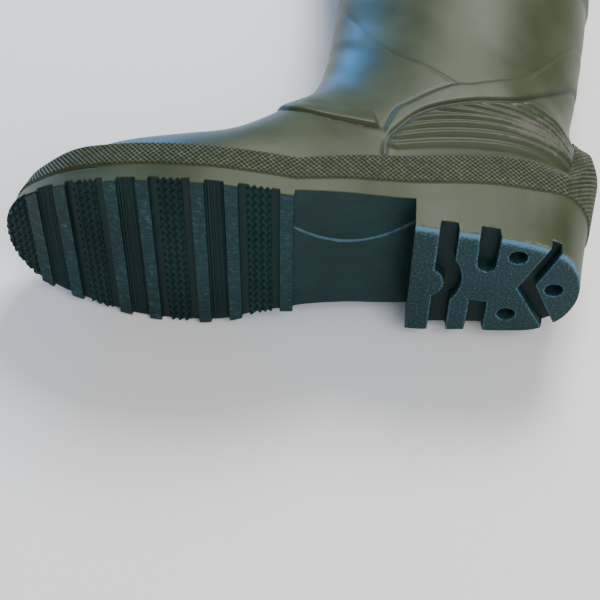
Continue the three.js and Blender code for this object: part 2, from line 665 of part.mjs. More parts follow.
const boot = new THREE.Group();
boot.add(meshOf("upper", upper(), OLIVE, 0.45));
boot.add(meshOf("sidewall", sidewall(), OLIVE, 0.5));
boot.add(meshOf("outsole", outsole(), DARK_GREEN, 0.45));
boot.add(meshOf("insole", insole(), GREY_FELT, 0.95));
boot.add(meshOf("leg", leg(), LEG_GREEN, 0.7));

// The model's origin lies on the ground, under the middle of the whole.
const bounds = new THREE.Box3().setFromObject(boot);
const middle = bounds.getCenter(new THREE.Vector3());
boot.position.set(-middle.x, -middle.y, -bounds.min.z);

export default boot;
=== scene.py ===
# %% [markdown]
# # A wader's boot foot, dressed
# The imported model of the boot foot, its sole and its slack leg is loaded as a fixed frame.
# Every visible surface is then made again with numpy at a finer step, from the same section
# tables and formulas, so that it lies where the solid lies and carries the ribs, the woven
# band and the tread that a mould leaves. Lengths in the tables are shares of named sizes.

# %% Load the fixed frame
import math

import bpy
import numpy as np
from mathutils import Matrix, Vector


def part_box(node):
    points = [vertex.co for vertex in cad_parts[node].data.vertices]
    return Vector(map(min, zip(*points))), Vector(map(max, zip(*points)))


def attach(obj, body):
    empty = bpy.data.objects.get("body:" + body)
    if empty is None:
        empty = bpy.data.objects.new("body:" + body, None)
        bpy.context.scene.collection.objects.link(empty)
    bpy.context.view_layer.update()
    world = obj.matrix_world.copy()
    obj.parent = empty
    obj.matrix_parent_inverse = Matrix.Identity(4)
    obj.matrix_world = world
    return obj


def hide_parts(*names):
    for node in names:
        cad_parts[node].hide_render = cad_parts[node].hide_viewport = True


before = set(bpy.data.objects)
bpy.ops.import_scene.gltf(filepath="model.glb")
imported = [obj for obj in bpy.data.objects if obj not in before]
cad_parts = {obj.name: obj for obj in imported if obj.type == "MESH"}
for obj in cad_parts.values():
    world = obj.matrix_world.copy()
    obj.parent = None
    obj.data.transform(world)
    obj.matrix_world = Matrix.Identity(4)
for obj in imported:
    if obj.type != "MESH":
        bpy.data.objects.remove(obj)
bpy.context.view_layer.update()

# %% [markdown]
# ## Sizes
# A boot is drawn from its last: length, ball width, heel height and shaft height come first,
# and everything else is a share of them. The same values drive the solids, so a place found
# on the last is also a place on the solid.

# %% Sizes of the boot, in millimetres
MM = 0.001
FOOT_LENGTH, BALL_WIDTH, SHAFT_HEIGHT = 306, 111, 262
HEEL_HEIGHT, HEEL_LENGTH, TOE_SPRING = 17.5, 86, 17
UPPER_WALL = 2.2
PLATE, TREAD_DEPTH, PAD_DEPTH, SLOT_DEPTH, STUD_HOLE = 8.5, 2.7, 0.9, 5.8, 9
BAR_WIDTH, ZIGZAG_WIDTH, ZIGZAG_MARGIN, RIBBED_WIDTH = 6.7, 20.3, 4.2, 9.7
WAIST_FRONT, WAIST_PAD, TOE_PAD_LEAST = 4, 1.2, 12
LINE_TOE, LINE_HEEL, BAND_TOE, BAND_HEEL, BAND_RAISE = 10.5, 35, 27, 58, 1
KICK_TOP, KICK_BULGE, TOE_LEAN = 105, 10.5, 8
COUNTER_RAISE, RIB_RAISE, ANKLE_RAISE, BACK_PAD_RAISE = 0.8, 1.5, 1.5, 1.5
LEG_TOP, LEG_OVERLAP, LEG_WALL, GAP = 680, 22, 1.2, 0.3
HEM_THICKNESS, HEM_WIDTH, HEM_SHIFT = 45, 246, 4

# %% [markdown]
# ## Tables of the last
# The upper is a row of closed sections that fan round the instep, from the toe to the shaft.
# A table with a row for each section is short to read and easy to change, and a smooth
# spline through its rows gives the fine surface.

# %% Section table of the upper and outline of the sole
LEVEL_RISE = 0.85
FORM = [  # base along, rise, top along, top, outer, inner, widest, low and high squareness
    [0.983, 0.012, 0.972, 0.140, 0.000, 0.110, 0.50, 2.0, 2.0],
    [0.978, 0.000, 0.962, 0.157, 0.085, 0.195, 0.48, 2.2, 2.0],
    [0.960, 0.000, 0.943, 0.174, 0.180, 0.270, 0.42, 2.8, 2.0],
    [0.928, 0.000, 0.912, 0.192, 0.275, 0.335, 0.36, 3.5, 2.0],
    [0.880, 0.000, 0.866, 0.209, 0.378, 0.384, 0.31, 4.0, 1.9],
    [0.817, 0.000, 0.795, 0.221, 0.473, 0.414, 0.28, 4.5, 1.9],
    [0.735, 0.000, 0.712, 0.235, 0.527, 0.428, 0.27, 4.5, 1.9],
    [0.654, 0.000, 0.630, 0.262, 0.540, 0.414, 0.26, 4.5, 1.9],
    [0.572, 0.000, 0.578, 0.324, 0.518, 0.351, 0.25, 4.0, 1.9],
    [0.490, 0.000, 0.541, 0.390, 0.473, 0.302, 0.28, 3.5, 1.9],
    [0.399, 0.000, 0.515, 0.443, 0.414, 0.324, 0.32, 3.2, 1.9],
    [0.310, 0.000, 0.502, 0.505, 0.374, 0.347, 0.38, 2.9, 1.9],
    [0.216, 0.000, 0.495, 0.550, 0.369, 0.356, 0.46, 2.7, 2.0],
    [0.124, 0.004, 0.491, 0.588, 0.374, 0.369, 0.52, 2.5, 2.0],
    [0.067, 0.020, 0.489, 0.615, 0.378, 0.374, 0.54, 2.4, 2.1],
    [0.032, 0.075, 0.487, 0.640, 0.382, 0.380, 0.54, 2.3, 2.1],
    [0.022, 0.145, 0.486, 0.668, 0.384, 0.384, 0.52, 2.2, 2.1],
    [0.030, 0.225, 0.485, 0.697, 0.388, 0.388, 0.52, 2.1, 2.1],
    [0.044, 0.305, 0.484, 0.727, 0.394, 0.394, 0.52, 2.1, 2.1],
    [0.042, 0.370, 0.483, 0.758, 0.400, 0.400, 0.51, 2.1, 2.1],
    [0.031, 0.450, 0.482, 0.796, 0.410, 0.410, 0.51, 2.1, 2.1],
    [0.021, 0.555, 0.481, 0.840, 0.422, 0.422, 0.50, 2.1, 2.1],
    [0.007, 0.670, 0.480, 0.880, 0.434, 0.434, 0.50, 2.1, 2.1],
    [-0.003, 0.808, 0.480, 0.908, 0.444, 0.444, 0.50, 2.1, 2.1],
    [-0.007, 0.900, 0.481, 1.000, 0.446, 0.446, 0.50, 2.1, 2.1],
    [-0.008, 1.060, 0.482, 1.080, 0.446, 0.446, 0.50, 2.1, 2.1],
]
OUTLINE = [  # along, out, once round from the heel's back by the outer side
    [0.038, 0.000], [0.047, 0.130], [0.072, 0.234], [0.114, 0.290], [0.180, 0.329], [0.248, 0.351],
    [0.320, 0.375], [0.379, 0.417], [0.425, 0.455], [0.513, 0.508], [0.601, 0.541], [0.663, 0.552],
    [0.740, 0.540], [0.800, 0.502], [0.882, 0.412], [0.935, 0.322], [0.980, 0.206], [1.005, 0.070],
    [1.012, -0.070], [1.003, -0.215], [0.977, -0.320], [0.931, -0.383], [0.882, -0.412], [0.800, -0.446],
    [0.725, -0.446], [0.660, -0.432], [0.618, -0.403], [0.575, -0.345], [0.513, -0.300], [0.431, -0.310],
    [0.370, -0.342], [0.310, -0.366], [0.216, -0.345], [0.150, -0.333], [0.098, -0.305], [0.060, -0.220],
    [0.042, -0.110],
]
GROUND = min(out for _, out in OUTLINE) * BALL_WIDTH - BAND_RAISE
print("sections", len(FORM), "outline points", len(OUTLINE), "ground at", round(GROUND, 2))

# %% [markdown]
# ## From the boot's directions to the frame
# Along runs from heel to toe, out to the outer side and up from tread to shaft. The boot
# lies on its inner side, so up is the frame's +Y and out its +Z. Where the frame's origin
# lies is read from the leg's box, because the leg is symmetrical about a known line.

# %% Places in the frame
leg_low, leg_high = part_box("leg")
SHAFT_FRONT, SHAFT_BACK = FORM[-1][2] * FOOT_LENGTH, FORM[-1][0] * FOOT_LENGTH
SHAFT_MIDDLE = (SHAFT_FRONT + SHAFT_BACK) / 2
ORIGIN = np.array([
    (leg_low.x + leg_high.x) / 2 / MM + SHAFT_MIDDLE + HEM_SHIFT,
    leg_high.y / MM - LEG_TOP,
    leg_low.z / MM - GROUND,
])


def place(along, out, up):
    """Frame point in metres: X is the origin less along, Y the origin plus up, Z plus out."""
    shape = np.broadcast(along, out, up).shape
    parts = [np.broadcast_to(value, shape) for value in (-np.asarray(along), up, out)]
    return (ORIGIN + np.stack(parts, axis=-1)) * MM


print("origin of the boot in the frame, mm", ORIGIN.round(2))

# %% [markdown]
# ## Camera, floor and light
# The photo looks at the lying boot from above the sole's side. The camera has the place and
# the lens that were fitted to the sole's outline and bars. Its three directions are written
# as unit vectors, which also keeps the photo's slight roll.

# %% Camera
CAMERA_AT = place(122.92, 552.29, -456.97)
CAMERA_RIGHT = np.array([0.99670, 0.08035, 0.01112])
CAMERA_LOOK = np.array([-0.04137, 0.62148, -0.78234])
FOCAL_PIXELS, FRAME_PIXELS, SENSOR = 1407, 600, 36

camera = bpy.data.objects.new("camera", bpy.data.cameras.new("camera"))
camera.data.sensor_width = SENSOR
camera.data.lens = FOCAL_PIXELS / FRAME_PIXELS * SENSOR
camera.data.clip_start, camera.data.clip_end = 0.01, 50
camera_up = np.cross(CAMERA_RIGHT, CAMERA_LOOK)
turn = np.eye(4)
turn[:3] = np.column_stack([CAMERA_RIGHT, camera_up, -CAMERA_LOOK, CAMERA_AT])
camera.matrix_world = turn.T
bpy.context.scene.collection.objects.link(camera)
bpy.context.scene.camera = camera
print("camera", CAMERA_AT.round(4), "lens", round(camera.data.lens, 2))

# %% [markdown]
# The boot lies on a plain pale floor in a plain soft studio. A dim pale world keeps the
# shadows open. The key panel stands beyond the shaft, so that the faces that look up get a
# broad sheen and the steps that face the camera stay dark, as in the photo. A weaker fill
# lights the tread. A small bluish panel beyond the toe gives the cool gleam on the front of
# the shaft.

# %% Floor and lights
WORLD_COLOUR, WORLD_STRENGTH = (0.97, 0.985, 1.0, 1), 0.42
FLOOR_HALF, FLOOR_COLOUR, FLOOR_ROUGHNESS = 6, (0.93, 0.93, 0.93, 1), 0.8


def new_material(name):
    """A material with its node tree and its shader."""
    material = bpy.data.materials.new(name)
    material.use_nodes = True
    return material, material.node_tree, material.node_tree.nodes["Principled BSDF"]


def floor_plane(half_width):
    """A square on the ground, its corners half_width from the middle."""
    mesh = bpy.data.meshes.new("floor")
    corners = [(x * half_width, y * half_width, 0) for x, y in ((-1, -1), (1, -1), (1, 1), (-1, 1))]
    mesh.from_pydata(corners, [], [(0, 1, 2, 3)])
    floor = bpy.data.objects.new("floor", mesh)
    bpy.context.scene.collection.objects.link(floor)
    material, _, shader = new_material("pale_floor")
    shader.inputs["Base Color"].default_value = FLOOR_COLOUR
    shader.inputs["Roughness"].default_value = FLOOR_ROUGHNESS
    mesh.materials.append(material)


def panel(name, at, towards, size, watts, colour):
    """A square area light at a point, its face turned to another point."""
    light = bpy.data.lights.new(name, "AREA")
    light.shape, light.size = "SQUARE", size
    light.energy, light.color = watts, colour
    lamp = bpy.data.objects.new(name, light)
    bpy.context.scene.collection.objects.link(lamp)
    lamp.location = at
    back = Vector(at) - Vector(towards)
    lamp.rotation_mode = "QUATERNION"
    lamp.rotation_quaternion = back.to_track_quat("Z", "Y")


floor_plane(FLOOR_HALF)
world = bpy.data.worlds.new("studio")
world.use_nodes = True
world.node_tree.nodes["Background"].inputs["Color"].default_value = WORLD_COLOUR
world.node_tree.nodes["Background"].inputs["Strength"].default_value = WORLD_STRENGTH
bpy.context.scene.world = world
foot_middle = place(150, 0, 60)
panel("key", (0.32, 0.75, 1.45), foot_middle, size=0.7, watts=33, colour=(1.0, 0.99, 0.96))
panel("fill", (0.5, -1.2, 1.1), foot_middle, size=0.9, watts=14, colour=(1.0, 1.0, 1.0))
panel("cool", (-0.62, 0.95, 0.24), foot_middle, size=0.45, watts=12, colour=(0.03, 0.36, 1.0))
print("lights", [lamp.name for lamp in bpy.data.lights])

# %% [markdown]
# ## Helpers for curves and surfaces
# Most pieces here are grids: one parameter runs round, the other along. A grid is worked
# out as whole arrays and its faces follow from the row and column numbers.

# %% Curves


def smooth(value, low, high):
    """A soft step from 0 at low to 1 at high: share squared times (3 less twice the share)."""
    share = np.clip((np.asarray(value, float) - low) / (high - low), 0, 1)
    return share * share * (3 - 2 * share)


def spline(rows, places):
    """Smooth values between a table's rows: a cubic in each gap, whose slope at a row is half
    the difference of its two neighbours."""
    rows = np.asarray(rows, float)
    padded = np.vstack([2 * rows[0] - rows[1], rows, 2 * rows[-1] - rows[-2]])
    first = np.clip(np.floor(places).astype(int), 0, len(rows) - 2)
    share = (places - first)[:, None]
    before, here, after, last = (padded[first + step] for step in range(4))
    cubic = 3 * (here - after) + last - before
    square = 2 * before - 5 * here + 4 * after - last
    return here + 0.5 * share * (after - before + share * (square + share * cubic))


def rounded(value, square):
    """Cosine or sine of a squared ellipse: the plain one to the power two over the squareness."""
    return np.sign(value) * np.abs(value) ** (2 / square)


def closed_curve(knots, per_gap):
    """A closed curve through knots, each gap blended from the chords of four knots, with the
    square root of the chord lengths as the parameter."""
    points = [np.roll(knots, 1 - step, axis=0)[:, None] for step in range(4)]
    gaps = [np.linalg.norm(points[k + 1] - points[k], axis=-1, keepdims=True) ** 0.5 for k in range(3)]
    times = [0 * gaps[0], gaps[0], gaps[0] + gaps[1], gaps[0] + gaps[1] + gaps[2]]
    here = times[1] + (times[2] - times[1]) * (np.arange(per_gap) / per_gap)[None, :, None]

    def blend(first, second, start, end):
        return ((end - here) * first + (here - start) * second) / (end - start)

    chords = [blend(points[k], points[k + 1], times[k], times[k + 1]) for k in range(3)]
    pairs = [blend(chords[k], chords[k + 1], times[k], times[k + 2]) for k in range(2)]
    return blend(pairs[0], pairs[1], times[1], times[2]).reshape(-1, 2)


def run_of(points):
    """Length along a line of points up to each point."""
    steps = np.linalg.norm(np.diff(points, axis=0), axis=1)
    return np.concatenate([[0], np.cumsum(steps)])


print("curve helpers ready; a soft step half way is", smooth(0.5, 0, 1))

# %% [markdown]
# Relief is placed by distances: how far a point of the surface lies from a line, or how deep
# inside a shape. Both are worked out for a whole grid at once, one side of the line at a time.

# %% Distances to lines and shapes


def near_line(along, up, line):
    """Distance from each place to a line of points, and how far along the line, from 0 to 1."""
    best = np.full(np.shape(along), 1e9)
    share = np.zeros(np.shape(along))
    run = run_of(line)
    for index, (start, end) in enumerate(zip(line[:-1], line[1:])):
        step = end - start
        reach = ((along - start[0]) * step[0] + (up - start[1]) * step[1]) / (step @ step)
        reach = np.clip(reach, 0, 1)
        away = np.hypot(along - start[0] - reach * step[0], up - start[1] - reach * step[1])
        closer = away < best
        best = np.where(closer, away, best)
        here = (run[index] + reach * (run[index + 1] - run[index])) / run[-1]
        share = np.where(closer, here, share)
    return best, share


def inside_by(along, up, corners):
    """How deep each place lies inside a polygon, negative outside: the distance to the nearest
    side, its sign from the number of sides that a level line crosses."""
    corners = np.asarray(corners, float)
    closed = np.vstack([corners, corners[:1]])
    away, _ = near_line(along, up, closed)
    crossings = np.zeros(np.shape(along), int)
    for start, end in zip(closed[:-1], closed[1:]):
        spans = (start[1] > up) != (end[1] > up)
        rise = end[1] - start[1] if end[1] != start[1] else 1e-9
        crosses = along < start[0] + (up - start[1]) / rise * (end[0] - start[0])
        crossings += spans & crosses
    return np.where(crossings % 2 == 1, away, -away)


def groove(away, half_width):
    """A soft trough: one at the line, nothing beyond about twice the half width."""
    return np.exp(-((away / half_width) ** 2))


print("middle of a unit square lies", inside_by(0.5, 0.5, [[0, 0], [1, 0], [1, 1], [0, 1]]), "inside")

# %% [markdown]
# A grid of points becomes a mesh with a quad between each four neighbours. A grid whose rows
# are closed rings is a tube, and a face on each end closes it. The masks that the materials
# need go in as point attributes, and the sign of the volume tells whether the faces look out.

# %% Meshes from grids
SHARP_ANGLE = math.radians(52)


def grid_faces(rows, columns, wrap, start=0):
    """Quads between neighbouring rows and columns; wrap joins the last column to the first."""
    row = np.arange(rows - 1)[:, None] * columns + start
    column = np.arange(columns if wrap else columns - 1)[None, :]
    after = (column + 1) % columns
    corners = [row + column, row + after, row + columns + after, row + columns + column]
    return np.stack(corners, axis=-1).reshape(-1, 4)


def tube_faces(rows, count):
    """Faces of a closed tube: quads between its rings, and one face on each end."""
    ends = np.arange(count)[None]
    return [grid_faces(rows, count, True), ends[:, ::-1], (rows - 1) * count + ends]


def cap_faces(ring, hub):
    """Triangles from a closed ring of point numbers to one point."""
    ring = np.asarray(ring)
    return np.stack([np.roll(ring, -1), ring, np.full(len(ring), hub)], axis=-1)


def volume_of(points, faces):
    """Signed volume of a closed mesh: the sum over its triangles of a . (b x c), over six."""
    total = 0.0
    for corner in range(1, faces.shape[1] - 1):
        a, b, c = (points[faces[:, index]] for index in (0, corner, corner + 1))
        total += np.einsum("ij,ij->", a, np.cross(b, c)) / 6
    return total


def make_piece(name, points, face_sets, materials, face_materials=None, attributes=None):
    """Builds an object from points in metres and sets of faces, turned so that it faces out."""
    points = np.asarray(points, float).reshape(-1, 3)
    centre = points.mean(axis=0)
    if sum(volume_of(points - centre, faces) for faces in face_sets) < 0:
        face_sets = [faces[:, ::-1] for faces in face_sets]
    mesh = bpy.data.meshes.new(name)
    mesh.from_pydata(points.tolist(), [], [face for faces in face_sets for face in faces.tolist()])
    for material in materials:
        mesh.materials.append(material)
    if face_materials is not None:
        mesh.polygons.foreach_set("material_index", np.concatenate(face_materials).astype(np.int32))
    for key, values in (attributes or {}).items():
        layer = mesh.attributes.new(key, "FLOAT", "POINT")
        layer.data.foreach_set("value", np.asarray(values, np.float32).ravel())
    mesh.shade_smooth()
    mesh.set_sharp_from_angle(angle=SHARP_ANGLE)
    mesh.update()
    piece = bpy.data.objects.new(name, mesh)
    bpy.context.scene.collection.objects.link(piece)
    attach(piece, "root")
    triangles = sum(len(faces) * (faces.shape[1] - 2) for faces in face_sets)
    print(name, "points", len(points), "triangles", triangles)
    return piece


# %% [markdown]
# ## Shader groups
# Rubber here has three shared effects: a fine grain from the mould, a look of wear on edges
# and crests, which on the tread lays a painted bluish gleam as well, and a little dust. Each is
# one node group with named inputs, so that every material uses the same effect with its own
# values. The groups only put out masks and heights; the shader stays in the material.

# %% Node helpers


def new_group(name, inputs, outputs):
    """An empty node group with float inputs, given as name and default, and float outputs."""
    group = bpy.data.node_groups.new(name, "ShaderNodeTree")
    for key, value in inputs.items():
        socket = group.interface.new_socket(name=key, in_out="INPUT", socket_type="NodeSocketFloat")
        socket.default_value = value
    for key in outputs:
        group.interface.new_socket(name=key, in_out="OUTPUT", socket_type="NodeSocketFloat")
    source = group.nodes.new("NodeGroupInput")
    target = group.nodes.new("NodeGroupOutput")
    return group, source.outputs, target.inputs


def join(tree, value, socket):
    """Links a node output to a socket, or sets the socket where a plain value is given."""
    if isinstance(value, bpy.types.NodeSocket):
        tree.links.new(value, socket)
    else:
        socket.default_value = value


def sums(tree, kind, first, second=0.0, clamp=False):
    """A Math node of the given kind on two values."""
    node = tree.nodes.new("ShaderNodeMath")
    node.operation = kind
    node.use_clamp = clamp
    join(tree, first, node.inputs[0])
    join(tree, second, node.inputs[1])
    return node.outputs[0]


def remap(tree, value, low, high):
    """A soft step of a value, from 0 at low to 1 at high."""
    node = tree.nodes.new("ShaderNodeMapRange")
    node.interpolation_type = "SMOOTHSTEP"
    join(tree, low, node.inputs["From Min"])
    join(tree, high, node.inputs["From Max"])
    join(tree, value, node.inputs["Value"])
    return node.outputs["Result"]


def noise(tree, place_socket, scale, detail=3.0, roughness=0.55):
    """A noise pattern of the given scale, in repeats per metre."""
    node = tree.nodes.new("ShaderNodeTexNoise")
    join(tree, place_socket, node.inputs["Vector"])
    join(tree, scale, node.inputs["Scale"])
    node.inputs["Detail"].default_value = detail
    node.inputs["Roughness"].default_value = roughness
    return node.outputs["Fac"]


def object_place(tree):
    """The piece's own coordinates, in metres."""
    return tree.nodes.new("ShaderNodeTexCoord").outputs["Object"]


def mixed(tree, share, first, second):
    """A colour between two colours."""
    node = tree.nodes.new("ShaderNodeMix")
    node.data_type = "RGBA"
    join(tree, share, node.inputs[0])
    join(tree, first, node.inputs[6])
    join(tree, second, node.inputs[7])
    return node.outputs[2]


def attribute(tree, name):
    """A value stored on the points of a piece, or zero where a piece has none."""
    node = tree.nodes.new("ShaderNodeAttribute")
    node.attribute_name = name
    return node.outputs["Fac"]


def bumped(tree, shader, height, distance, strength=1.0):
    """A Bump node from a height to the shader, its distance in millimetres."""
    bump = tree.nodes.new("ShaderNodeBump")
    bump.inputs["Strength"].default_value = strength
    bump.inputs["Distance"].default_value = distance * MM
    tree.links.new(height, bump.inputs["Height"])
    tree.links.new(bump.outputs["Normal"], shader.inputs["Normal"])


def placed(tree, group, **values):
    """Places a shader group and sets or links its inputs by name, with _ for a space."""
    node = tree.nodes.new("ShaderNodeGroup")
    node.node_tree = group
    for key, value in values.items():
        join(tree, value, node.inputs[key.replace("_", " ")])
    return node.outputs


print("node helpers ready")

# %% [markdown]
# The mould gives rubber its grain. Wear shows first on edges and crests, in specks rather
# than as a clean line, so its mask is broken up by noise before it is cut off. On the tread the
# same speckled mask lays a painted bluish gleam as well. Dust gathers in patches and in hollows.

# %% The shared effects


def grain_group():
    """Grain height is fine noise plus half as much of a finer one, and mottle is a slow noise."""
    group, given, result = new_group("rubber_grain", {"Scale": 900.0, "Mottle Scale": 25.0},
                                     ["Height", "Mottle"])
    at = object_place(group)
    fine = noise(group, at, given["Scale"], 2.0)
    finer = noise(group, at, sums(group, "MULTIPLY", given["Scale"], 2.7), 1.0)
    height = sums(group, "ADD", fine, sums(group, "MULTIPLY", finer, 0.5))
    group.links.new(height, result["Height"])
    slow = noise(group, at, given["Mottle Scale"], 4.0, 0.6)
    group.links.new(remap(group, slow, 0.32, 0.68), result["Mottle"])
    return group


def wear_group():
    """Wear, and on the tread a painted gleam, is a given mask broken up by noise: mask plus noise, cut
    off at a threshold.
    """
    group, given, result = new_group("worn_edges_and_gleam", {"Mask": 0.0, "Breakup": 160.0, "Amount": 1.0},
                                     ["Wear"])
    at = object_place(group)
    speckle = noise(group, at, given["Breakup"], 5.0, 0.7)
    pushed = sums(group, "ADD", given["Mask"], sums(group, "MULTIPLY", speckle, 1.2))
    cut = remap(group, pushed, 0.95, 1.45)
    wear_and_gleam = sums(group, "MULTIPLY", cut, given["Amount"], clamp=True)
    group.links.new(wear_and_gleam, result["Wear"])
    return group


def dust_group():
    """Dust is patchy slow noise times fine noise, thicker where a given hollow mask is high."""
    group, given, result = new_group("fine_dust", {"Hollow": 0.0, "Amount": 0.3}, ["Dust"])
    at = object_place(group)
    patches = remap(group, noise(group, at, 18.0, 3.0), 0.45, 0.75)
    grains = remap(group, noise(group, at, 700.0, 2.0), 0.45, 0.65)
    thin = sums(group, "MULTIPLY", patches, grains)
    both = sums(group, "ADD", thin, sums(group, "MULTIPLY", given["Hollow"], 0.3))
    dusty = sums(group, "MULTIPLY", both, given["Amount"], clamp=True)
    group.links.new(dusty, result["Dust"])
    return group


GRAIN, WEAR_AND_GLEAM, DUST = grain_group(), wear_group(), dust_group()
print("shader groups", [group.name for group in (GRAIN, WEAR_AND_GLEAM, DUST)])

# %% [markdown]
# ## Rubber
# Moulded rubber has one colour all through. What the eye sees on it are slow shifts of tone,
# painted shade that darkens the hollows, paler crests, from wear and from painted highlight,
# and a satin gloss that grain breaks up. On the tread the colour of the crests is a painted
# bluish gleam as well. The pieces carry two masks as attributes, worked out with their shape:
# hollow, for grooves, where shade is painted, and crest, for what gets scuffed and, on the
# tread, where the gleam is painted.

# %% Rubber material
# Painted shade in hollows: how much, and the share of the deep colour that it darkens to.
HOLLOW_SHADE, HOLLOW_TONE = 0.85, 0.35
WORN_ROUGHER, DUST_ROUGHER = 0.22, 0.3
RUBBER_DUST = (0.13, 0.13, 0.10, 1)


def rubber(name, tones, roughness, gloss_change, grain_depth, grain_scale, wear, dust, shine,
           breakup=300.0):
    """Rubber between deep and pale, with painted shade in hollows, a wear colour on crests (a painted
    gleam on the tread), and dust.
    """
    material, tree, shader = new_material(name)
    deep, pale, wear_and_gleam = tones
    hollow, crest = attribute(tree, "hollow"), attribute(tree, "crest")
    grain = placed(tree, GRAIN, Scale=grain_scale)
    edge = placed(tree, WEAR_AND_GLEAM, Mask=crest, Amount=wear, Breakup=breakup)["Wear"]
    dusty = placed(tree, DUST, Hollow=hollow, Amount=dust)["Dust"]
    plain = mixed(tree, grain["Mottle"], (*deep, 1), (*pale, 1))
    # Painted shade: the hollow mask darkens the colour towards a third of the deep tone.
    shaded = mixed(tree, sums(tree, "MULTIPLY", hollow, HOLLOW_SHADE, clamp=True), plain,
                   (*(HOLLOW_TONE * np.array(deep)), 1))
    # The colour on crests: scuffs on the olive, and on the tread a painted bluish gleam as well.
    with_wear_and_gleam = mixed(tree, edge, shaded, (*wear_and_gleam, 1))
    dusted = mixed(tree, dusty, with_wear_and_gleam, RUBBER_DUST)
    tree.links.new(dusted, shader.inputs["Base Color"])
    tone = sums(tree, "MULTIPLY", grain["Mottle"], gloss_change)
    rough = sums(tree, "ADD", tone, sums(tree, "MULTIPLY", edge, WORN_ROUGHER))
    rough = sums(tree, "ADD", rough, sums(tree, "MULTIPLY", dusty, DUST_ROUGHER))
    tree.links.new(sums(tree, "ADD", rough, roughness, clamp=True), shader.inputs["Roughness"])
    bumped(tree, shader, grain["Height"], grain_depth, 0.5)
    shader.inputs["Specular IOR Level"].default_value = shine
    return material


OLIVE = ((0.034, 0.046, 0.021), (0.050, 0.066, 0.032))
# The tread's tones are painted light: its rubber is the olive of the sides, the dark teal is painted
# shade and blue light on the underside, and the bluish third tone is a painted gleam and reflection of
# the blue light, with scuffs.
PAINTED_TREAD_TONES = ((0.004, 0.021, 0.022), (0.008, 0.034, 0.036), (0.10, 0.21, 0.31))
olive_smooth = rubber("olive_rubber", (*OLIVE, (0.17, 0.155, 0.145)), roughness=0.38, gloss_change=0.10,
                      grain_depth=0.05, grain_scale=1500.0, wear=0.5, dust=0.05, shine=0.20)
olive_band = rubber("olive_band_rubber", (*OLIVE, (0.18, 0.20, 0.14)), roughness=0.42, gloss_change=0.10,
                    grain_depth=0.06, grain_scale=1300.0, wear=0.6, dust=0.08, shine=0.20)
tread_painted_shade_and_gleam = rubber("tread_rubber", PAINTED_TREAD_TONES, roughness=0.42, gloss_change=0.12, grain_depth=0.08,
                     grain_scale=1200.0, wear=0.5, dust=0.04, shine=0.16)
heel_painted_shade_and_gleam = rubber("heel_rubber", PAINTED_TREAD_TONES, roughness=0.50, gloss_change=0.12, grain_depth=0.30,
                    grain_scale=900.0, wear=1.0, dust=0.06, shine=0.16, breakup=900.0)
print("rubber for upper, band, tread and heel")

# %% [markdown]
# ## The last and the sole's lines
# Height of the seat, spring of the toe, the parting line of the band and its top are plain
# functions of the place along the foot.

# %% Lines of the sole
HEEL_BACK = 0.038 * FOOT_LENGTH
BREAST = HEEL_BACK + HEEL_LENGTH
TREAD_START = 0.514 * FOOT_LENGTH
TOE_END = 1.012 * FOOT_LENGTH
SPRING_START, SPRING_POWER = 0.693 * FOOT_LENGTH, 1.8
FALL_FROM, FALL_TO = 0.196 * FOOT_LENGTH, 0.572 * FOOT_LENGTH
HIGH_UNTIL, LOW_FROM = 0.111 * FOOT_LENGTH, 0.513 * FOOT_LENGTH
KICK_PEAK, KICK_RISE, KICK_DROP, KICK_FALL = 0.64 * KICK_TOP, 1.2, 1.25, 1.6
LEAN_FROM, LEAN_TO = 0.85 * FOOT_LENGTH, 0.99 * FOOT_LENGTH


def spring(along):
    """Toe spring: its full height times the share of the way to the toe, to a power."""
    share = np.maximum(0, (along - SPRING_START) / (FOOT_LENGTH - SPRING_START))
    return TOE_SPRING * share**SPRING_POWER


def seat(along):
    """Seat: spring plus plate, plus the heel's height, which falls away softly at the waist."""
    return spring(along) + PLATE + HEEL_HEIGHT * (1 - smooth(along, FALL_FROM, FALL_TO))


def waist_up(along):
    """Underside of the waist: a straight rise from the tread's start to the heel's front."""
    share = np.clip((TREAD_START - along) / (TREAD_START - BREAST), 0, 1)
    return WAIST_FRONT + (HEEL_HEIGHT - WAIST_FRONT) * share


def band_rise(along):
    """Share of the way from the forefoot's low band to the heel's high one, a quarter sine."""
    return np.sin(np.pi / 2 * np.clip((LOW_FROM - along) / (LOW_FROM - HIGH_UNTIL), 0, 1))


def line_up(along):
    """Parting line between the plain and the textured part of the band."""
    return spring(along) + LINE_TOE + (LINE_HEEL - LINE_TOE) * band_rise(along)


def band_top(along):
    """Top of the band, with the kick that climbs the heel's back."""
    kick = 1 - smooth(along, 0.030 * FOOT_LENGTH, 0.075 * FOOT_LENGTH)
    plain = BAND_TOE + (BAND_HEEL - BAND_TOE) * band_rise(along)
    return spring(along) + plain + (KICK_TOP - BAND_HEEL) * kick


def kick_bulge(along, up):
    """How far the heel's back stands out: a power rise to a peak, then a faster fall."""
    below = (np.clip(up, 0, KICK_PEAK) / KICK_PEAK) ** KICK_RISE
    over = 1 - KICK_DROP * np.clip((up - KICK_PEAK) / (KICK_TOP - KICK_PEAK), 0, 1) ** KICK_FALL
    share = 1 - smooth(along, 0.040 * FOOT_LENGTH, 0.145 * FOOT_LENGTH)
    return KICK_BULGE * share * np.minimum(below, over)


def toe_lean(along, up):
    """How far the toe's band leans back at a height."""
    share = np.clip((up - spring(along)) / (band_top(along) - spring(along)), 0, 1)
    return TOE_LEAN * share * smooth(along, LEAN_FROM, LEAN_TO)


outline_fine = closed_curve(np.array(OUTLINE) * [FOOT_LENGTH, BALL_WIDTH], 40)
print("outline length, mm", run_of(np.vstack([outline_fine, outline_fine[:1]]))[-1].round(1))

# %% [markdown]
# ## Relief of the upper
# The counter, its ribs, the ankle band and the mould's lines are low steps in one wall. They
# could be sculpted by hand; here each is a curve drawn on the boot's side, and the surface
# moves along its normal by an amount that depends on the distance to that curve. The same
# distances also give the hollow and crest masks.

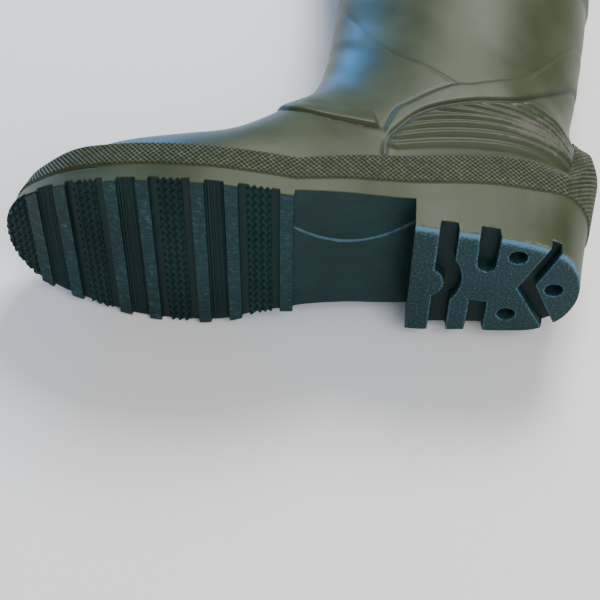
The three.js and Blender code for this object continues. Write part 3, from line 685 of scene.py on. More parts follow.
# %% Curves drawn on the side of the upper: along and up
COUNTER_OUTER = [[0.376, 0.246], [0.377, 0.256], [0.360, 0.308], [0.334, 0.333], [0.299, 0.363],
                 [0.259, 0.387], [0.224, 0.393], [0.147, 0.434], [0.104, 0.492], [0.036, 0.615],
                 [0.0, 0.66]]
COUNTER_INNER = [[0.375, 0.179], [0.372, 0.223], [0.359, 0.250], [0.326, 0.297], [0.285, 0.324],
                 [0.224, 0.344], [0.149, 0.364], [0.084, 0.440], [0.034, 0.513], [0.0, 0.56]]
FRONT_LINE = [[0.478, 0.745], [0.463, 0.681], [0.418, 0.562], [0.369, 0.479], [0.318, 0.439],
              [0.259, 0.387]]
ANKLE_LOWER = [[0.388, 0.250], [0.437, 0.255], [0.488, 0.261], [0.536, 0.272], [0.550, 0.283],
               [0.561, 0.300], [0.572, 0.335]]
ANKLE_UPPER = [[0.404, 0.321], [0.474, 0.320], [0.522, 0.347], [0.545, 0.380]]
RIBS = [  # front along and up, bow along and up, back along and up
    [0.369, 0.200, 0.244, 0.231, 0.120, 0.229],
    [0.368, 0.224, 0.244, 0.256, 0.100, 0.250],
    [0.358, 0.248, 0.244, 0.279, 0.082, 0.267],
    [0.346, 0.271, 0.245, 0.297, 0.092, 0.281],
    [0.293, 0.318, 0.207, 0.308, 0.112, 0.294],
    [0.269, 0.336, 0.197, 0.323, 0.112, 0.306],
    [0.222, 0.345, 0.170, 0.336, 0.106, 0.319],
    [0.187, 0.354, 0.148, 0.347, 0.104, 0.333],
    [0.155, 0.364, 0.128, 0.359, 0.098, 0.348],
]
BACK_PAD = [[-0.2, 0.798], [0.045, 0.798], [0.045, 0.866], [-0.2, 0.866]]
SIDE = np.array([FOOT_LENGTH, SHAFT_HEIGHT])


def side_line(knots, points=40):
    """A smooth line through places given as shares of the foot length and the shaft height."""
    return spline(np.array(knots) * SIDE, np.linspace(0, len(knots) - 1, points))


def field_behind(line, top):
    """The shape behind a side line: closed past the heel's back, from a height down to the sole."""
    return np.vstack([side_line(line), SIDE * [-0.1, top], SIDE * [-0.1, 0.05], SIDE * [0.375, 0.05]])


print("ribs on the counter", len(RIBS))

# %% [markdown]
# The counter stands proud, and the ribbed field in it is sunk again, with a deep crease along
# its edge. The ankle band is highest at its lower edge, where a dark step marks the photo,
# and fades upwards. Scuffs sit where the photo has them, low on the counter near the heel.

# %% Relief as a height over the plain last
PANEL_SINK, CREASE_DEPTH, LINE_DEPTH, ANKLE_STEP = 0.55, 0.9, 0.3, 1.0
CREASE_HALF, LINE_HALF, RIB_HALF, THIN_HALF = 1.25, 1.2, 1.75, 0.8
STEP_FROM, STEP_TO = -1.0, 1.4
SCUFF_ALONG, SCUFF_UP, SCUFF_FLAT, SCUFF_HALF = 30, 72, 1.6, 22


def rib_height(along, up):
    """Height of the ribs: for each, a rounded crest about its bowed line, tapered at both ends."""
    total = np.zeros_like(along)
    share = np.linspace(0, 1, 24)[:, None]
    for rib in RIBS:
        front, bow, back = (np.array(rib[k:k + 2]) * SIDE for k in (0, 2, 4))
        pull = 2 * bow - (front + back) / 2
        line = (1 - share) ** 2 * front + 2 * share * (1 - share) * pull + share**2 * back
        tail = back + share * [-14, 0] + share**2 * [-4, -15]
        away, reach = near_line(along, up, np.vstack([line, tail[1:]]))
        ends = smooth(reach, 0.0, 0.03) * (1 - 0.5 * smooth(reach, 0.55, 0.75))
        ends = ends * (1 - smooth(reach, 0.8, 1.0))
        total = np.maximum(total, groove(away, RIB_HALF) * ends)
    return RIB_RAISE * total


def upper_relief(along, up):
    """Height over the plain last, with the hollow and crest masks, at places on its side."""
    within = inside_by(along, up, field_behind(COUNTER_OUTER, 0.70))
    ribbed = inside_by(along, up, field_behind(COUNTER_INNER, 0.60))
    height = COUNTER_RAISE * smooth(within, STEP_FROM, STEP_TO)
    height -= PANEL_SINK * smooth(ribbed, STEP_FROM, STEP_TO)
    lines = (COUNTER_INNER, COUNTER_OUTER, FRONT_LINE, ANKLE_LOWER, ANKLE_UPPER)
    inner, outer, front, lower, upper = (near_line(along, up, side_line(line))[0] for line in lines)
    crease = groove(inner, CREASE_HALF)
    height -= CREASE_DEPTH * crease + LINE_DEPTH * (groove(outer, LINE_HALF) + groove(front, LINE_HALF))
    ankle = inside_by(along, up, np.vstack([side_line(ANKLE_LOWER), side_line(ANKLE_UPPER)[::-1]]))
    height += ANKLE_RAISE * smooth(ankle, -0.5, 1.0) * (1 - smooth(lower, 3, 15))
    height -= ANKLE_STEP * groove(lower, LINE_HALF)
    ribs = rib_height(along, up) * smooth(ribbed, 0.3, 4.0)
    height += ribs
    height += BACK_PAD_RAISE * smooth(inside_by(along, up, SIDE * BACK_PAD), -1.0, 1.5)
    valley = smooth(ribbed, 0.5, 2.5) * (1 - ribs / RIB_RAISE) * (1 - smooth(up, 85, 105)) * 0.35
    thin = [groove(away, THIN_HALF) for away in (outer, front, upper)]
    # hollow is painted shade: it darkens the crease, the mould lines, the step under the ankle band and
    # the valleys between the ribs.
    hollow = np.maximum.reduce([crease, groove(lower, 1.1), 0.35 * thin[0], 0.3 * thin[1],
                                0.35 * thin[2], valley])
    scuff = groove(np.hypot(along - SCUFF_ALONG, (up - SCUFF_UP) * SCUFF_FLAT), SCUFF_HALF)
    # crest: scuffs low near the heel, and on the rib crests a little painted highlight.
    crest = np.clip(0.25 * ribs / RIB_RAISE + 0.75 * scuff * (0.4 + ribs / RIB_RAISE), 0, 1)
    return height, hollow, crest


print("relief: counter", COUNTER_RAISE, "ribs", RIB_RAISE, "ankle band", ANKLE_RAISE, "mm")

# %% [markdown]
# ## The upper
# A boot maker pulls or moulds the upper over a last, so its surface is a loft of the last's
# sections. Each section here is a squared ellipse in a plane that fans round the instep. The
# rings are spaced evenly round each section, closer on the ribs, and the wall is closed by
# an inner surface a wall's thickness further in.

# %% The upper's surface


def last_rows():
    """Each section of the table as base, top, centre, half width and shape, in millimetres."""
    rows = np.array(FORM)
    base_along = rows[:, 0] * FOOT_LENGTH
    base_up = seat(base_along) + rows[:, 1] * (SHAFT_HEIGHT - seat(0.0))
    top_along = rows[:, 2] * FOOT_LENGTH
    top_up = np.where(rows[:, 1] > LEVEL_RISE, base_up, rows[:, 3] * SHAFT_HEIGHT)
    centre = (rows[:, 4] - rows[:, 5]) / 2 * BALL_WIDTH
    half = (rows[:, 4] + rows[:, 5]) / 2 * BALL_WIDTH
    return np.column_stack([base_along, base_up, top_along, top_up, centre, half, rows[:, 6:9]])


def last_surface(sections, turns):
    """Places on the last: on each section, across is the rounded cosine and lift the rounded
    sine of the turn, with one squareness below the widest place and another above it."""
    base_along, base_up, top_along, top_up, centre, half, widest, low, high = sections.T[:, :, None]
    square = np.where(np.sin(turns) < 0, low, high)
    across, lift = rounded(np.cos(turns), square), rounded(np.sin(turns), square)
    share = widest + lift * np.where(lift > 0, 1 - widest, widest)
    along = base_along + share * (top_along - base_along)
    up = base_up + share * (top_up - base_up)
    return np.stack([along, centre + half * across, up], axis=-1)


def last_grid(section_count, ring_count):
    """A grid on the last: sections spaced by the mean run of base and top, and points spaced
    evenly round each section, denser where the ribs are."""
    table = last_rows()
    fine = spline(table, np.linspace(0, len(table) - 1, 1600))
    fine = fine[fine[:, 1] <= SHAFT_HEIGHT]
    run = 0.65 * run_of(fine[:, 0:2]) + 0.35 * run_of(fine[:, 2:4])
    busy = smooth(fine[:, 0], 175, 130) * (1 - smooth(fine[:, 1], 120, 190))
    run = run_of(np.cumsum(np.gradient(run) * (1 + 1.2 * busy))[:, None])
    even = np.linspace(0, run[-1], section_count)
    sections = np.column_stack([np.interp(even, run, fine[:, k]) for k in range(fine.shape[1])])
    turns = np.linspace(-np.pi / 2, 1.5 * np.pi, 1441)
    dense = last_surface(sections, turns[None, :])
    middle = (dense[:, 1:] + dense[:, :-1]) / 2
    ribs = smooth(middle[..., 2], 40, 50) * (1 - smooth(middle[..., 2], 120, 170))
    ribs *= (1 - smooth(middle[..., 0], 165, 190)) * smooth(middle[..., 1], -20, 0)
    lengths = np.linalg.norm(np.diff(dense, axis=1), axis=-1) * (1 + 1.7 * ribs)
    rounds = np.concatenate([np.zeros((len(sections), 1)), np.cumsum(lengths, axis=1)], axis=1)
    wanted = np.arange(ring_count) / ring_count
    chosen = np.stack([np.interp(wanted * row[-1], row, turns) for row in rounds])
    return last_surface(sections, chosen)


def outward(points):
    """Unit normals of a grid that wraps round: the cross of the steps along its two directions."""
    around = np.roll(points, -1, axis=1) - np.roll(points, 1, axis=1)
    along = np.gradient(points, axis=0)
    normal = np.cross(around, along)
    normal /= np.maximum(np.linalg.norm(normal, axis=-1, keepdims=True), 1e-9)
    return normal * np.sign(np.sum(normal * (points - points.mean(axis=1, keepdims=True))))


print("sections of the last", len(last_rows()))

# %% [markdown]
# The plain last is sampled, the relief moves it along its normals, and a slow sway of a third
# of a millimetre takes the stiffness out of the shaft.

# %% The upper's outer skin
SKIN_SECTIONS, SKIN_RING = 300, 300
SWAY = 0.35

upper_plain = last_grid(SKIN_SECTIONS, SKIN_RING)
skin_along, skin_out, skin_up = np.moveaxis(upper_plain, -1, 0)
relief, upper_hollow, upper_crest = upper_relief(skin_along, skin_up)
sway = SWAY * np.sin(skin_up / 31 + 0.4) * np.sin(skin_along / 23 + skin_out / 37)
sway *= smooth(skin_up, 110, 170) * (1 - smooth(skin_up, 215, 236))
upper_skin = upper_plain + (relief + sway)[..., None] * outward(upper_plain)
print("upper grid", upper_skin.shape[:2], "relief", relief.min().round(2), "to", relief.max().round(2))

# %% [markdown]
# A boot is hollow, so the skin gets an inner wall and a rim at the top. The inner wall is
# coarse, because only its top shows, and it carries a knitted lining as its material.

# %% The upper as a hollow shell
INNER_SECTIONS, RING_STEP = 60, 5
LINING = {"colour": (0.055, 0.06, 0.05), "pale": (0.12, 0.12, 0.10), "repeats": 1100.0}


def shell(outer, inner):
    """Faces of two sock-like grids joined at their last rings, and closed at their first ones.
    The inner ring has fewer points, and each of its gaps takes several of the outer ones."""
    rows, columns = outer.shape[:2]
    inner_rows, inner_columns = inner.shape[:2]
    step = columns // inner_columns
    points = [outer.reshape(-1, 3), outer[0].mean(axis=0)[None], inner.reshape(-1, 3),
              inner[0].mean(axis=0)[None]]
    inner_start = rows * columns + 1
    outside = grid_faces(rows, columns, True)
    outside_cap = cap_faces(np.arange(columns), rows * columns)
    inside = grid_faces(inner_rows, inner_columns, True, inner_start)[:, ::-1]
    inner_hub = inner_start + inner_rows * inner_columns
    inside_cap = cap_faces(inner_start + np.arange(inner_columns), inner_hub)[:, ::-1]
    rim_outer = (rows - 1) * columns + np.arange(inner_columns * step + 1) % columns
    rim_inner = inner_hub - inner_columns + np.arange(inner_columns + 1) % inner_columns
    starts = np.arange(inner_columns) * step
    rim = np.column_stack([rim_outer[starts + k] for k in range(step + 1)]
                          + [rim_inner[1:], rim_inner[:-1]])
    return np.vstack(points), [outside, outside_cap, inside, inside_cap, rim]


def knit(name, colour, pale, repeats):
    """Knitted lining or felt: a matt nap of fine noise, paler where it stands high, with sheen."""
    material, tree, shader = new_material(name)
    grain = placed(tree, GRAIN, Scale=repeats, Mottle_Scale=60.0)
    tree.links.new(mixed(tree, grain["Height"], (*colour, 1), (*pale, 1)), shader.inputs["Base Color"])
    shader.inputs["Roughness"].default_value = 0.95
    shader.inputs["Sheen Weight"].default_value = 0.25
    bumped(tree, shader, grain["Height"], 0.4)
    return material


coarse = last_grid(INNER_SECTIONS, SKIN_RING)
thin_wall = UPPER_WALL - 0.4 * (1 - smooth(coarse[..., 2:], 40, 90))
inner_skin = (coarse - thin_wall * outward(coarse))[:, ::RING_STEP]
skins = [place(*np.moveaxis(skin, -1, 0)) for skin in (upper_skin, inner_skin)]
upper_points, upper_faces = shell(*skins)
unmasked = np.zeros(len(upper_points) - upper_hollow.size)
masks = {"hollow": np.concatenate([upper_hollow.ravel(), unmasked]),
         "crest": np.concatenate([upper_crest.ravel(), unmasked])}
lined = [np.full(len(faces), index in (2, 3)) for index, faces in enumerate(upper_faces)]
upper_piece = make_piece("upper_shell", upper_points, upper_faces,
                         [olive_smooth, knit("lining_knit", **LINING)], lined, masks)
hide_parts("upper")

# %% [markdown]
# ## The tread's profile
# From below, the forefoot is a row of cross bars with grooves between: some grooves hold
# fine ridges across the foot and some hold zigzag ridges. One function gives the height of
# the underside at any place. The band round the sole asks the same function for its lower
# edge, so that bars and grooves show in the edge as they do on the real sole.

# %% Height of the underside
STRIPES = [("bar", BAR_WIDTH)]
GROUP = [("zigzag", ZIGZAG_WIDTH), ("bar", BAR_WIDTH), ("ribbed", RIBBED_WIDTH), ("bar", BAR_WIDTH)]
group_length = sum(width for _, width in GROUP)
STRIPES += GROUP * int((TOE_END - TOE_PAD_LEAST - TREAD_START - BAR_WIDTH) / group_length)
STRIPES.append(("toe", 2 * BAR_WIDTH + TOE_END))
stripe_ends = TREAD_START + np.cumsum([width for _, width in STRIPES])
stripe_starts = np.concatenate([[TREAD_START], stripe_ends[:-1]])
FINE_PITCH, FINE_HEIGHT = 1.85, 0.28
RIDGE_PITCH, RIDGE_HEIGHT = 1.45, 0.55
ZIGZAG_PITCH, ZIGZAG_PERIOD, ZIGZAG_SWING = 3.55, 5.4, 0.30


def wave(turns):
    """A soft wave from 0 to 1 and back in each turn."""
    return 0.5 - 0.5 * np.cos(2 * np.pi * turns)


def zigzag(along, out, start):
    """Depth of zigzag ridges: a wave along the foot, pushed to and fro by a triangle across it."""
    triangle = np.abs(2 * ((out / ZIGZAG_PERIOD) % 1) - 1) * 2 - 1
    crest = 1 - wave((along - start) / ZIGZAG_PITCH + ZIGZAG_SWING * triangle)
    return PAD_DEPTH + (TREAD_DEPTH - PAD_DEPTH) * (1 - crest) ** 0.8


def stripe_depth(kind, along, out, start, end):
    """Depth of one stripe below the bars: bars carry fine ribs along the foot, ribbed grooves
    carry ridges across it, and zigzag grooves have smooth margins."""
    if kind == "bar":
        return FINE_HEIGHT * wave(out / FINE_PITCH)
    if kind == "ribbed":
        return TREAD_DEPTH - RIDGE_HEIGHT * wave((along - start) / RIDGE_PITCH)
    margin = ZIGZAG_MARGIN if kind == "zigzag" else 0.0
    pad = smooth(along, start + margin - 0.3, start + margin + 0.3)
    pad *= 1 - smooth(along, end - margin - 0.3, end - margin + 0.3)
    ridges = zigzag(along, out, start + margin)
    return TREAD_DEPTH + (ridges - TREAD_DEPTH) * pad


def forefoot_up(along, out):
    """Height of the forefoot's tread: the toe spring plus the depth of the stripe it lies in."""
    depth = np.zeros(np.broadcast(along, out).shape)
    for (kind, _), start, end in zip(STRIPES, stripe_starts, stripe_ends):
        here = (along >= start) & (along < end)
        depth = np.where(here, stripe_depth(kind, along, out, start, end), depth)
    return spring(along) + depth


# %% [markdown]
# ## The heel's cuts
# The heel is a plain block with a front slot that bows round a small boss, two side slots,
# a V groove and three holes for studs. Each cut is a polygon or a circle seen from below,
# and the depth at a place follows from how deep the place lies inside the cut.

# %% Height of the heel
FRONT_SLOT = [[0.752, -0.6], [0.860, -0.6], [0.860, 0.6], [0.752, 0.6]]
OUTER_SLOT = [[0.512, 0.135], [0.525, 0.105], [0.560, 0.090], [0.600, 0.100], [0.617, 0.130],
              [0.640, 0.600], [0.510, 0.600]]
INNER_SLOT = [[0.530, -0.130], [0.530, -0.600], [0.640, -0.600], [0.630, -0.120]]
V_GROOVE = [[0.139, 0.420], [0.362, -0.014], [0.095, -0.400], [0.028, -0.400], [0.265, 0.016],
            [0.067, 0.420]]
BOW = [[0.680, -0.145], [0.800, -0.145], [0.800, 0.150], [0.680, 0.150]]
BOW_CIRCLE, BOSS_CIRCLE = (1.051, 0.012, 0.35), (0.948, -0.018, 0.15)
STUD_HOLES = [[0.393, 0.200], [0.151, -0.010], [0.401, -0.207]]


def on_heel(place_pair):
    """A place on the heel, given as shares of its length and of the ball width."""
    return np.array([HEEL_BACK, 0]) + np.asarray(place_pair) * [HEEL_LENGTH, BALL_WIDTH]


def in_circle(along, out, centre, radius):
    """How deep a place lies inside a circle on the heel."""
    middle = on_heel(centre)
    return radius - np.hypot(along - middle[0], out - middle[1])


def heel_cut(along, out):
    """How deep a place lies inside the heel's cuts, in millimetres, negative outside them."""
    bow = np.minimum(inside_by(along, out, on_heel(BOW)),
                     in_circle(along, out, BOW_CIRCLE[:2], BOW_CIRCLE[2] * HEEL_LENGTH))
    front = np.maximum(inside_by(along, out, on_heel(FRONT_SLOT)), bow)
    front = np.minimum(front, -in_circle(along, out, BOSS_CIRCLE[:2], BOSS_CIRCLE[2] * HEEL_LENGTH))
    cuts = [front] + [inside_by(along, out, on_heel(cut)) for cut in (OUTER_SLOT, INNER_SLOT, V_GROOVE)]
    cuts += [in_circle(along, out, hole, STUD_HOLE / 2) for hole in STUD_HOLES]
    return np.maximum.reduce(cuts)


def heel_up(along, out):
    """Height of the heel's underside: a soft-edged drop to the slot depth inside the cuts."""
    cut = heel_cut(along, out)
    return SLOT_DEPTH * smooth(cut, -0.25, 0.35) + 0.35 * groove(cut, 0.7) * (cut < 0)


def pad_edges(along):
    """Outer and inner edge of the waist's proud middle: each a parabola along the waist."""
    share = np.clip((along - BREAST) / (TREAD_START - BREAST), 0, 1)
    outer = BALL_WIDTH * (0.135 + 0.45 * (share - 0.45) ** 2)
    return outer, -BALL_WIDTH * (0.165 + 0.13 * (1 - share) ** 2)


def waist_surface(along, out):
    """Underside of the waist, with its slightly proud curved middle."""
    outer_edge, inner_edge = pad_edges(along)
    pad = smooth(outer_edge - out, -0.4, 0.4) * smooth(out - inner_edge, -0.4, 0.4)
    return waist_up(along) - WAIST_PAD * pad


def underside(along, out):
    """Height of the sole's underside anywhere: heel, waist or forefoot."""
    behind, ahead = along < BREAST, along >= TREAD_START
    middle = waist_surface(along, out)
    return np.where(behind, heel_up(along, out), np.where(ahead, forefoot_up(along, out), middle))


print("stripes", len(STRIPES), "last bar ends at", stripe_starts[-1].round(1))

# %% [markdown]
# ## Tread pieces
# The forefoot, the waist and the heel are height fields: a grid over the sole's plan, whose
# stations run along the foot and whose cells run from the inner to the outer edge. Steep
# walls get two stations a hair apart. The grid is closed upwards to a slab that is hidden in
# the sole.

# %% Slabs of the sole
toe_index = int(np.argmax(outline_fine[:, 0]))
heel_index = int(np.argmin(outline_fine[:, 0]))
outline_turned = np.roll(outline_fine, -heel_index, axis=0)
toe_turned = (toe_index - heel_index) % len(outline_fine)
outer_side = outline_turned[:toe_turned + 1]
inner_side = np.vstack([outline_turned[toe_turned:], outline_turned[:1]])[::-1]
EDGE_INSET, LEDGE_INSET, LEDGE_RISE = 0.25, 1.7, 1.6


def plan_width(along):
    """Outer and inner edge of the sole at places along the foot, a little inside its outline."""
    outer = np.interp(along, outer_side[:, 0], outer_side[:, 1])
    inner = np.interp(along, inner_side[:, 0], inner_side[:, 1])
    trim = EDGE_INSET + 0.9 * smooth(along, LEAN_FROM, LEAN_TO)
    trim = np.minimum(trim, 0.25 * (outer - inner))
    return outer - trim, inner + trim


def ring_piece(name, ring, material, masks):
    """A piece whose rows are closed rings in the boot's directions, with a face on each end."""
    faces = tube_faces(*ring.shape[:2])
    return make_piece(name, place(*ring.reshape(-1, 3).T), faces, [material], attributes=masks)


def slab(name, stations, cells, surface, top, material, masks_of):
    """A height field over the stations: each station is a closed ring of the ground face, a
    ledge that steps in behind the band, and a roof."""
    outer, inner = plan_width(stations)
    share = np.linspace(0, 1, cells + 1)
    along = np.repeat(stations[:, None], cells + 1, axis=1)
    out = inner[:, None] + (outer - inner)[:, None] * share
    up = surface(along, out)
    face = np.stack([along, out, up], axis=-1)
    roof_up = np.maximum(top(stations), up.max(axis=1) + LEDGE_RISE + 0.5)
    lean = toe_lean(stations, roof_up) + LEDGE_INSET
    middle, half = (outer + inner) / 2, (outer - inner) / 2
    half = half * np.clip(1 - lean / np.maximum(half, 0.1), 0.2, 1)
    back = stations - lean * smooth(stations, 0.93 * FOOT_LENGTH, TOE_END)
    corners = [(middle + half, up[:, -1] + LEDGE_RISE), (middle + half, roof_up),
               (middle - half, roof_up), (middle - half, up[:, 0] + LEDGE_RISE)]
    walls = np.stack([np.stack([back, side, level], axis=-1) for side, level in corners], axis=1)
    ring = np.concatenate([face, walls], axis=1)
    spare = np.zeros((len(ring), len(corners)))
    masks = {key: np.concatenate([values, spare], axis=1)
             for key, values in zip(("hollow", "crest"), masks_of(along, out, up))}
    piece = ring_piece(name, ring, material, masks)
    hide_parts("outsole")


print("sole is", np.ptp(outline_fine[:, 0]).round(1), "mm long in its outline")

# %% [markdown]
# The forefoot's bars and grooves have steep walls, so each stripe gets its own stations, and
# the zigzag ridges get the most. Grooves get painted shade, and what touches the ground a
# painted bluish gleam.

# %% Forefoot
HAIR = 0.1
STEPS = {"bar": 5, "ribbed": 44, "zigzag": 52, "toe": 44}


def forefoot_stations():
    """Stations in each stripe, with a pair a hair apart at each edge. The toe's stripe ends at
    the tip, where stations crowd together as a square root does."""
    stations = []
    for (kind, _), start, end in zip(STRIPES, stripe_starts, stripe_ends):
        if kind == "toe":
            share = np.linspace(0, 1, STEPS[kind])
            stations.append(start + HAIR + (TOE_END - 0.02 - start - HAIR) * (1 - (1 - share) ** 2))
        else:
            stations.append(np.linspace(start + HAIR, end - HAIR, STEPS[kind]))
    return np.concatenate([[TREAD_START], *stations])


def forefoot_masks(along, out, up):
    """Hollow is painted shade deep in the grooves, and crest a painted bluish gleam on what touches the
    ground.
    """
    depth = up - spring(along)
    return smooth(depth, 1.4, TREAD_DEPTH) * 0.55, 0.42 * (1 - smooth(depth, 0.05, 0.8))


slab("tread_forefoot", forefoot_stations(), 260, forefoot_up, lambda s: spring(s) + 4.5,
     tread_painted_shade_and_gleam, forefoot_masks)

# %% [markdown]
# The waist is a hollow arch between the forefoot and the heel, with a proud middle whose
# outer edge gets a pale painted line. A smooth height field with even stations is enough.

# %% Waist


def waist_masks(along, out, up):
    """A pale line in the bluish gleam colour is painted along the step at the pad's outer edge."""
    return 0 * up, 0.9 * groove(pad_edges(along)[0] + 0.2 - out, 0.7)


slab("tread_waist", np.linspace(BREAST - 0.2, TREAD_START + 0.2, 70), 220, waist_surface,
     lambda s: seat(s) - 0.4, tread_painted_shade_and_gleam, waist_masks)

# %% [markdown]
# The heel carries most of the wear colour: its ground face is a bluish grey, part scuffs and part
# a painted reflection of the blue light, most at its outer edge and round the cuts, and its cuts
# get painted shade. Its stations crowd towards the round back.

# %% Heel


def heel_masks(along, out, up):
    """Painted shade in the cuts; on the ground face scuffs and a painted bluish reflection, most at the
    outer edge and cut rims.
    """
    outer, _ = plan_width(along)
    ground = 1 - smooth(up, 0.1, 1.2)
    rim = groove(outer - out, 3.5) + groove(heel_cut(along, out), 0.8) * 0.5
    return smooth(up, 1.5, SLOT_DEPTH) * 0.7, ground * np.clip(0.38 + 0.6 * rim, 0, 1)


heel_share = np.linspace(0, 1, 230)
heel_crowd = 0.35 * heel_share**2 + 0.65 * heel_share
heel_round = HEEL_BACK + 0.02 + (BREAST - HEEL_BACK - 0.02) * heel_crowd
slab("tread_heel", heel_round, 210, heel_up, lambda s: seat(s) - 0.4, heel_painted_shade_and_gleam, heel_masks)

# %% [markdown]
# ## The band round the sole
# The band's face is swept along the sole's outline. Its lower part is smooth, and above the
# parting line it carries a lattice of fine raised lines. The lattice is drawn with two waves
# that cross: one counts the run along the outline plus the height, the other the run less
# the height. At the heel's back the band climbs as a kick, which needs more rows, so that
# stretch is a piece of its own.

# %% Places along the outline
outline_closed = np.vstack([outline_turned, outline_turned[:1]])
outline_run = run_of(outline_closed)
PERIMETER = outline_run[-1]
LATTICE_PITCH, LATTICE_HEIGHT = 2.8, 0.75


def outline_at(run):
    """Place and outward direction at a run along the outline, from a slightly rounded tangent."""
    def point(value):
        turned = value % PERIMETER
        return np.stack([np.interp(turned, outline_run, outline_closed[:, k]) for k in (0, 1)], axis=-1)
    here = point(run)
    tangent = point(run + 2.5) - point(run - 2.5)
    tangent /= np.linalg.norm(tangent, axis=-1, keepdims=True)
    return here, np.stack([-tangent[:, 1], tangent[:, 0]], axis=-1)


def lattice(run, height):
    """Raised lines of a diamond lattice: the larger of two crossed ridges."""
    def ridge(turns):
        return (1 - wave(turns)) ** 2.2
    return np.maximum(ridge((run + height) / LATTICE_PITCH), ridge((run - height) / LATTICE_PITCH))


def nearest(points, cloud):
    """For each point the nearest point of a cloud, worked out in blocks."""
    found = np.empty_like(points)
    for start in range(0, len(points), 40):
        block = points[start:start + 40]
        apart = ((block[:, None] - cloud[None]) ** 2).sum(axis=-1)
        found[start:start + 40] = cloud[apart.argmin(axis=1)]
    return found


print("run round the outline, mm", PERIMETER.round(1))

# %% [markdown]
# Each row of the band is the outline moved outwards, at a height of its own. The lip closes
# the band on the upper's skin, and the inner rows follow that skin a hair away from it.

# %% The band and its kick
UNDER_LIP, UNDER_OUTSET, KICK_FADE, LIP_LIFT = 1.6, -1.6, 12, 0.4
SCUFF_BAND, SCUFF_REST, SCUFF_REACH = 0.62, 0.1, 2.2
visible_upper = upper_skin.reshape(-1, 3)
visible_upper = visible_upper[visible_upper[:, 2] < KICK_TOP + 25]


def band_piece(name, run, plain_rows, lattice_rows, lip_rows):
    """The band over a stretch of the outline: rows from its hidden lower edge, up the plain face
    and the lattice, over a rounded lip to the upper, and back inside."""
    here, away = outline_at(run)
    along, out = here.T
    line, top = line_up(along), band_top(along)
    low = underside(along - 0.3 * away[:, 0], out - 0.3 * away[:, 1]) + 0.12
    rows, hollows, crests = [], [], []

    def lay(row, hollow=0.0, crest=0.0):
        rows.append(row)
        hollows.append(hollow + 0 * run)
        crests.append(crest + 0 * run)

    def add(up, outset, hollow=0.0, crest=0.0):
        lean = kick_bulge(along, up) * smooth(top - up, 0, KICK_FADE) - toe_lean(along, up)
        lay(np.column_stack([here + (outset + lean)[:, None] * away, up]), hollow, crest)

    scuffed = (along < BREAST) * (out > 0) * SCUFF_BAND + SCUFF_REST
    add(low + UNDER_LIP, UNDER_OUTSET)
    add(low, -0.22, crest=scuffed)
    for share in np.linspace(0, 1, plain_rows) ** 1.5:
        up = low + 0.35 + share * (line - 0.5 - low - 0.35)
        add(up, 0.0, crest=scuffed * np.exp(-(up - low) / SCUFF_REACH))
    parting = smooth(along, 0.80 * FOOT_LENGTH, 0.87 * FOOT_LENGTH)
    # The parting groove near the toe gets painted shade.
    add(line - 0.15, -0.5 * parting, hollow=parting)
    add(line + 0.25, 0.1 * BAND_RAISE - 0.4 * parting, hollow=parting)
    reach = top - line - 2.6
    for share in np.linspace(0, 1, lattice_rows):
        height = 0.6 + share * reach
        fade = smooth(height, 0.6, 1.6) * (1 - smooth(share, 0.97, 1.0))
        ridge = lattice(run, height) * fade
        outset = BAND_RAISE * smooth(height, 0.2, 1.4) - 0.25 + LATTICE_HEIGHT * (ridge - 0.4) * fade
        # In the lattice, hollow paints shade in the pits and crest a painted highlight on the raised
        # lines.
        add(line + height, outset, hollow=np.clip(1.5 * (1 - 1.3 * ridge), 0, 1) * fade,
            crest=0.62 * ridge * fade)
    edge = rows[-1]
    goal = nearest(edge, visible_upper)
    for share in np.linspace(0, 1, lip_rows + 1)[1:]:
        arch = math.sin(math.pi * share)
        lip = edge + (goal - edge) * share
        lip[:, 2] = lip[:, 2] + (top - edge[:, 2]) * LIP_LIFT * arch
        # Painted shade where the lip meets the upper.
        lay(lip, 0.25 * share**3, 0.15 * arch)
    floor_of_band = seat(along) + 6
    for share in (0.0, 0.25, 0.5, 0.75, 1.0):
        up = top - 2 - share * (top - 2 - floor_of_band)
        on_upper = nearest(np.column_stack([here, up]), visible_upper)
        lay(np.column_stack([on_upper[:, :2] + GAP * away, up]))
    add(seat(along), UNDER_OUTSET)
    masks = {"hollow": np.stack(hollows, axis=1), "crest": np.stack(crests, axis=1)}
    piece = ring_piece(name, np.stack(rows, axis=1), olive_band, masks)
    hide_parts("sidewall")


KICK_HALF = 36
TOE_RUN = np.interp(toe_turned, np.arange(len(outline_run)), outline_run)
outer_run = np.linspace(KICK_HALF, TOE_RUN, 840, endpoint=False)
inner_run = np.linspace(TOE_RUN, PERIMETER - KICK_HALF, 450)
band_piece("band", np.concatenate([outer_run, inner_run]), 9, 50, 7)
band_piece("band_kick", np.linspace(-KICK_HALF, KICK_HALF, 170), 16, 150, 9)

# %% [markdown]
# ## Insole
# The insole is a felt board inside the foot. Its solid has the right shape already, so it
# stays and only gets a felt finish.

# %% Insole
felt = knit("insole_felt", (0.055, 0.058, 0.045), (0.13, 0.13, 0.11), 700.0)
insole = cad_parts["insole"]
insole.data.materials.clear()
insole.data.materials.append(felt)
print("insole stays, felt finish")

# %% [markdown]
# ## The leg
# The leg is one tube of coated fabric, bonded round the shaft's top and laid slack on the
# ground. A simulation could drop it, but its flattened shape is simple, so it is a tube of
# squared ellipses that spread and sink towards the hem, with soft folds pressed in.
# Its wall comes from a Solidify modifier.

# %% The leg's surface
FOLDS = [  # start up and across, end up and across, spread, depth
    [0.05, -0.90, 0.38, 0.25, 0.055, 0.26],
    [0.18, 0.85, 0.50, -0.10, 0.050, 0.22],
    [0.48, -0.80, 0.95, -0.15, 0.060, 0.20],
    [0.60, 0.80, 1.05, 0.30, 0.055, 0.18],
]
LEG_SQUARE, SLACK_POWER = 2.1, 1.15
HEM_HEIGHT, HEM_RAISE, RIPPLE = 28, 0.5, 1.1


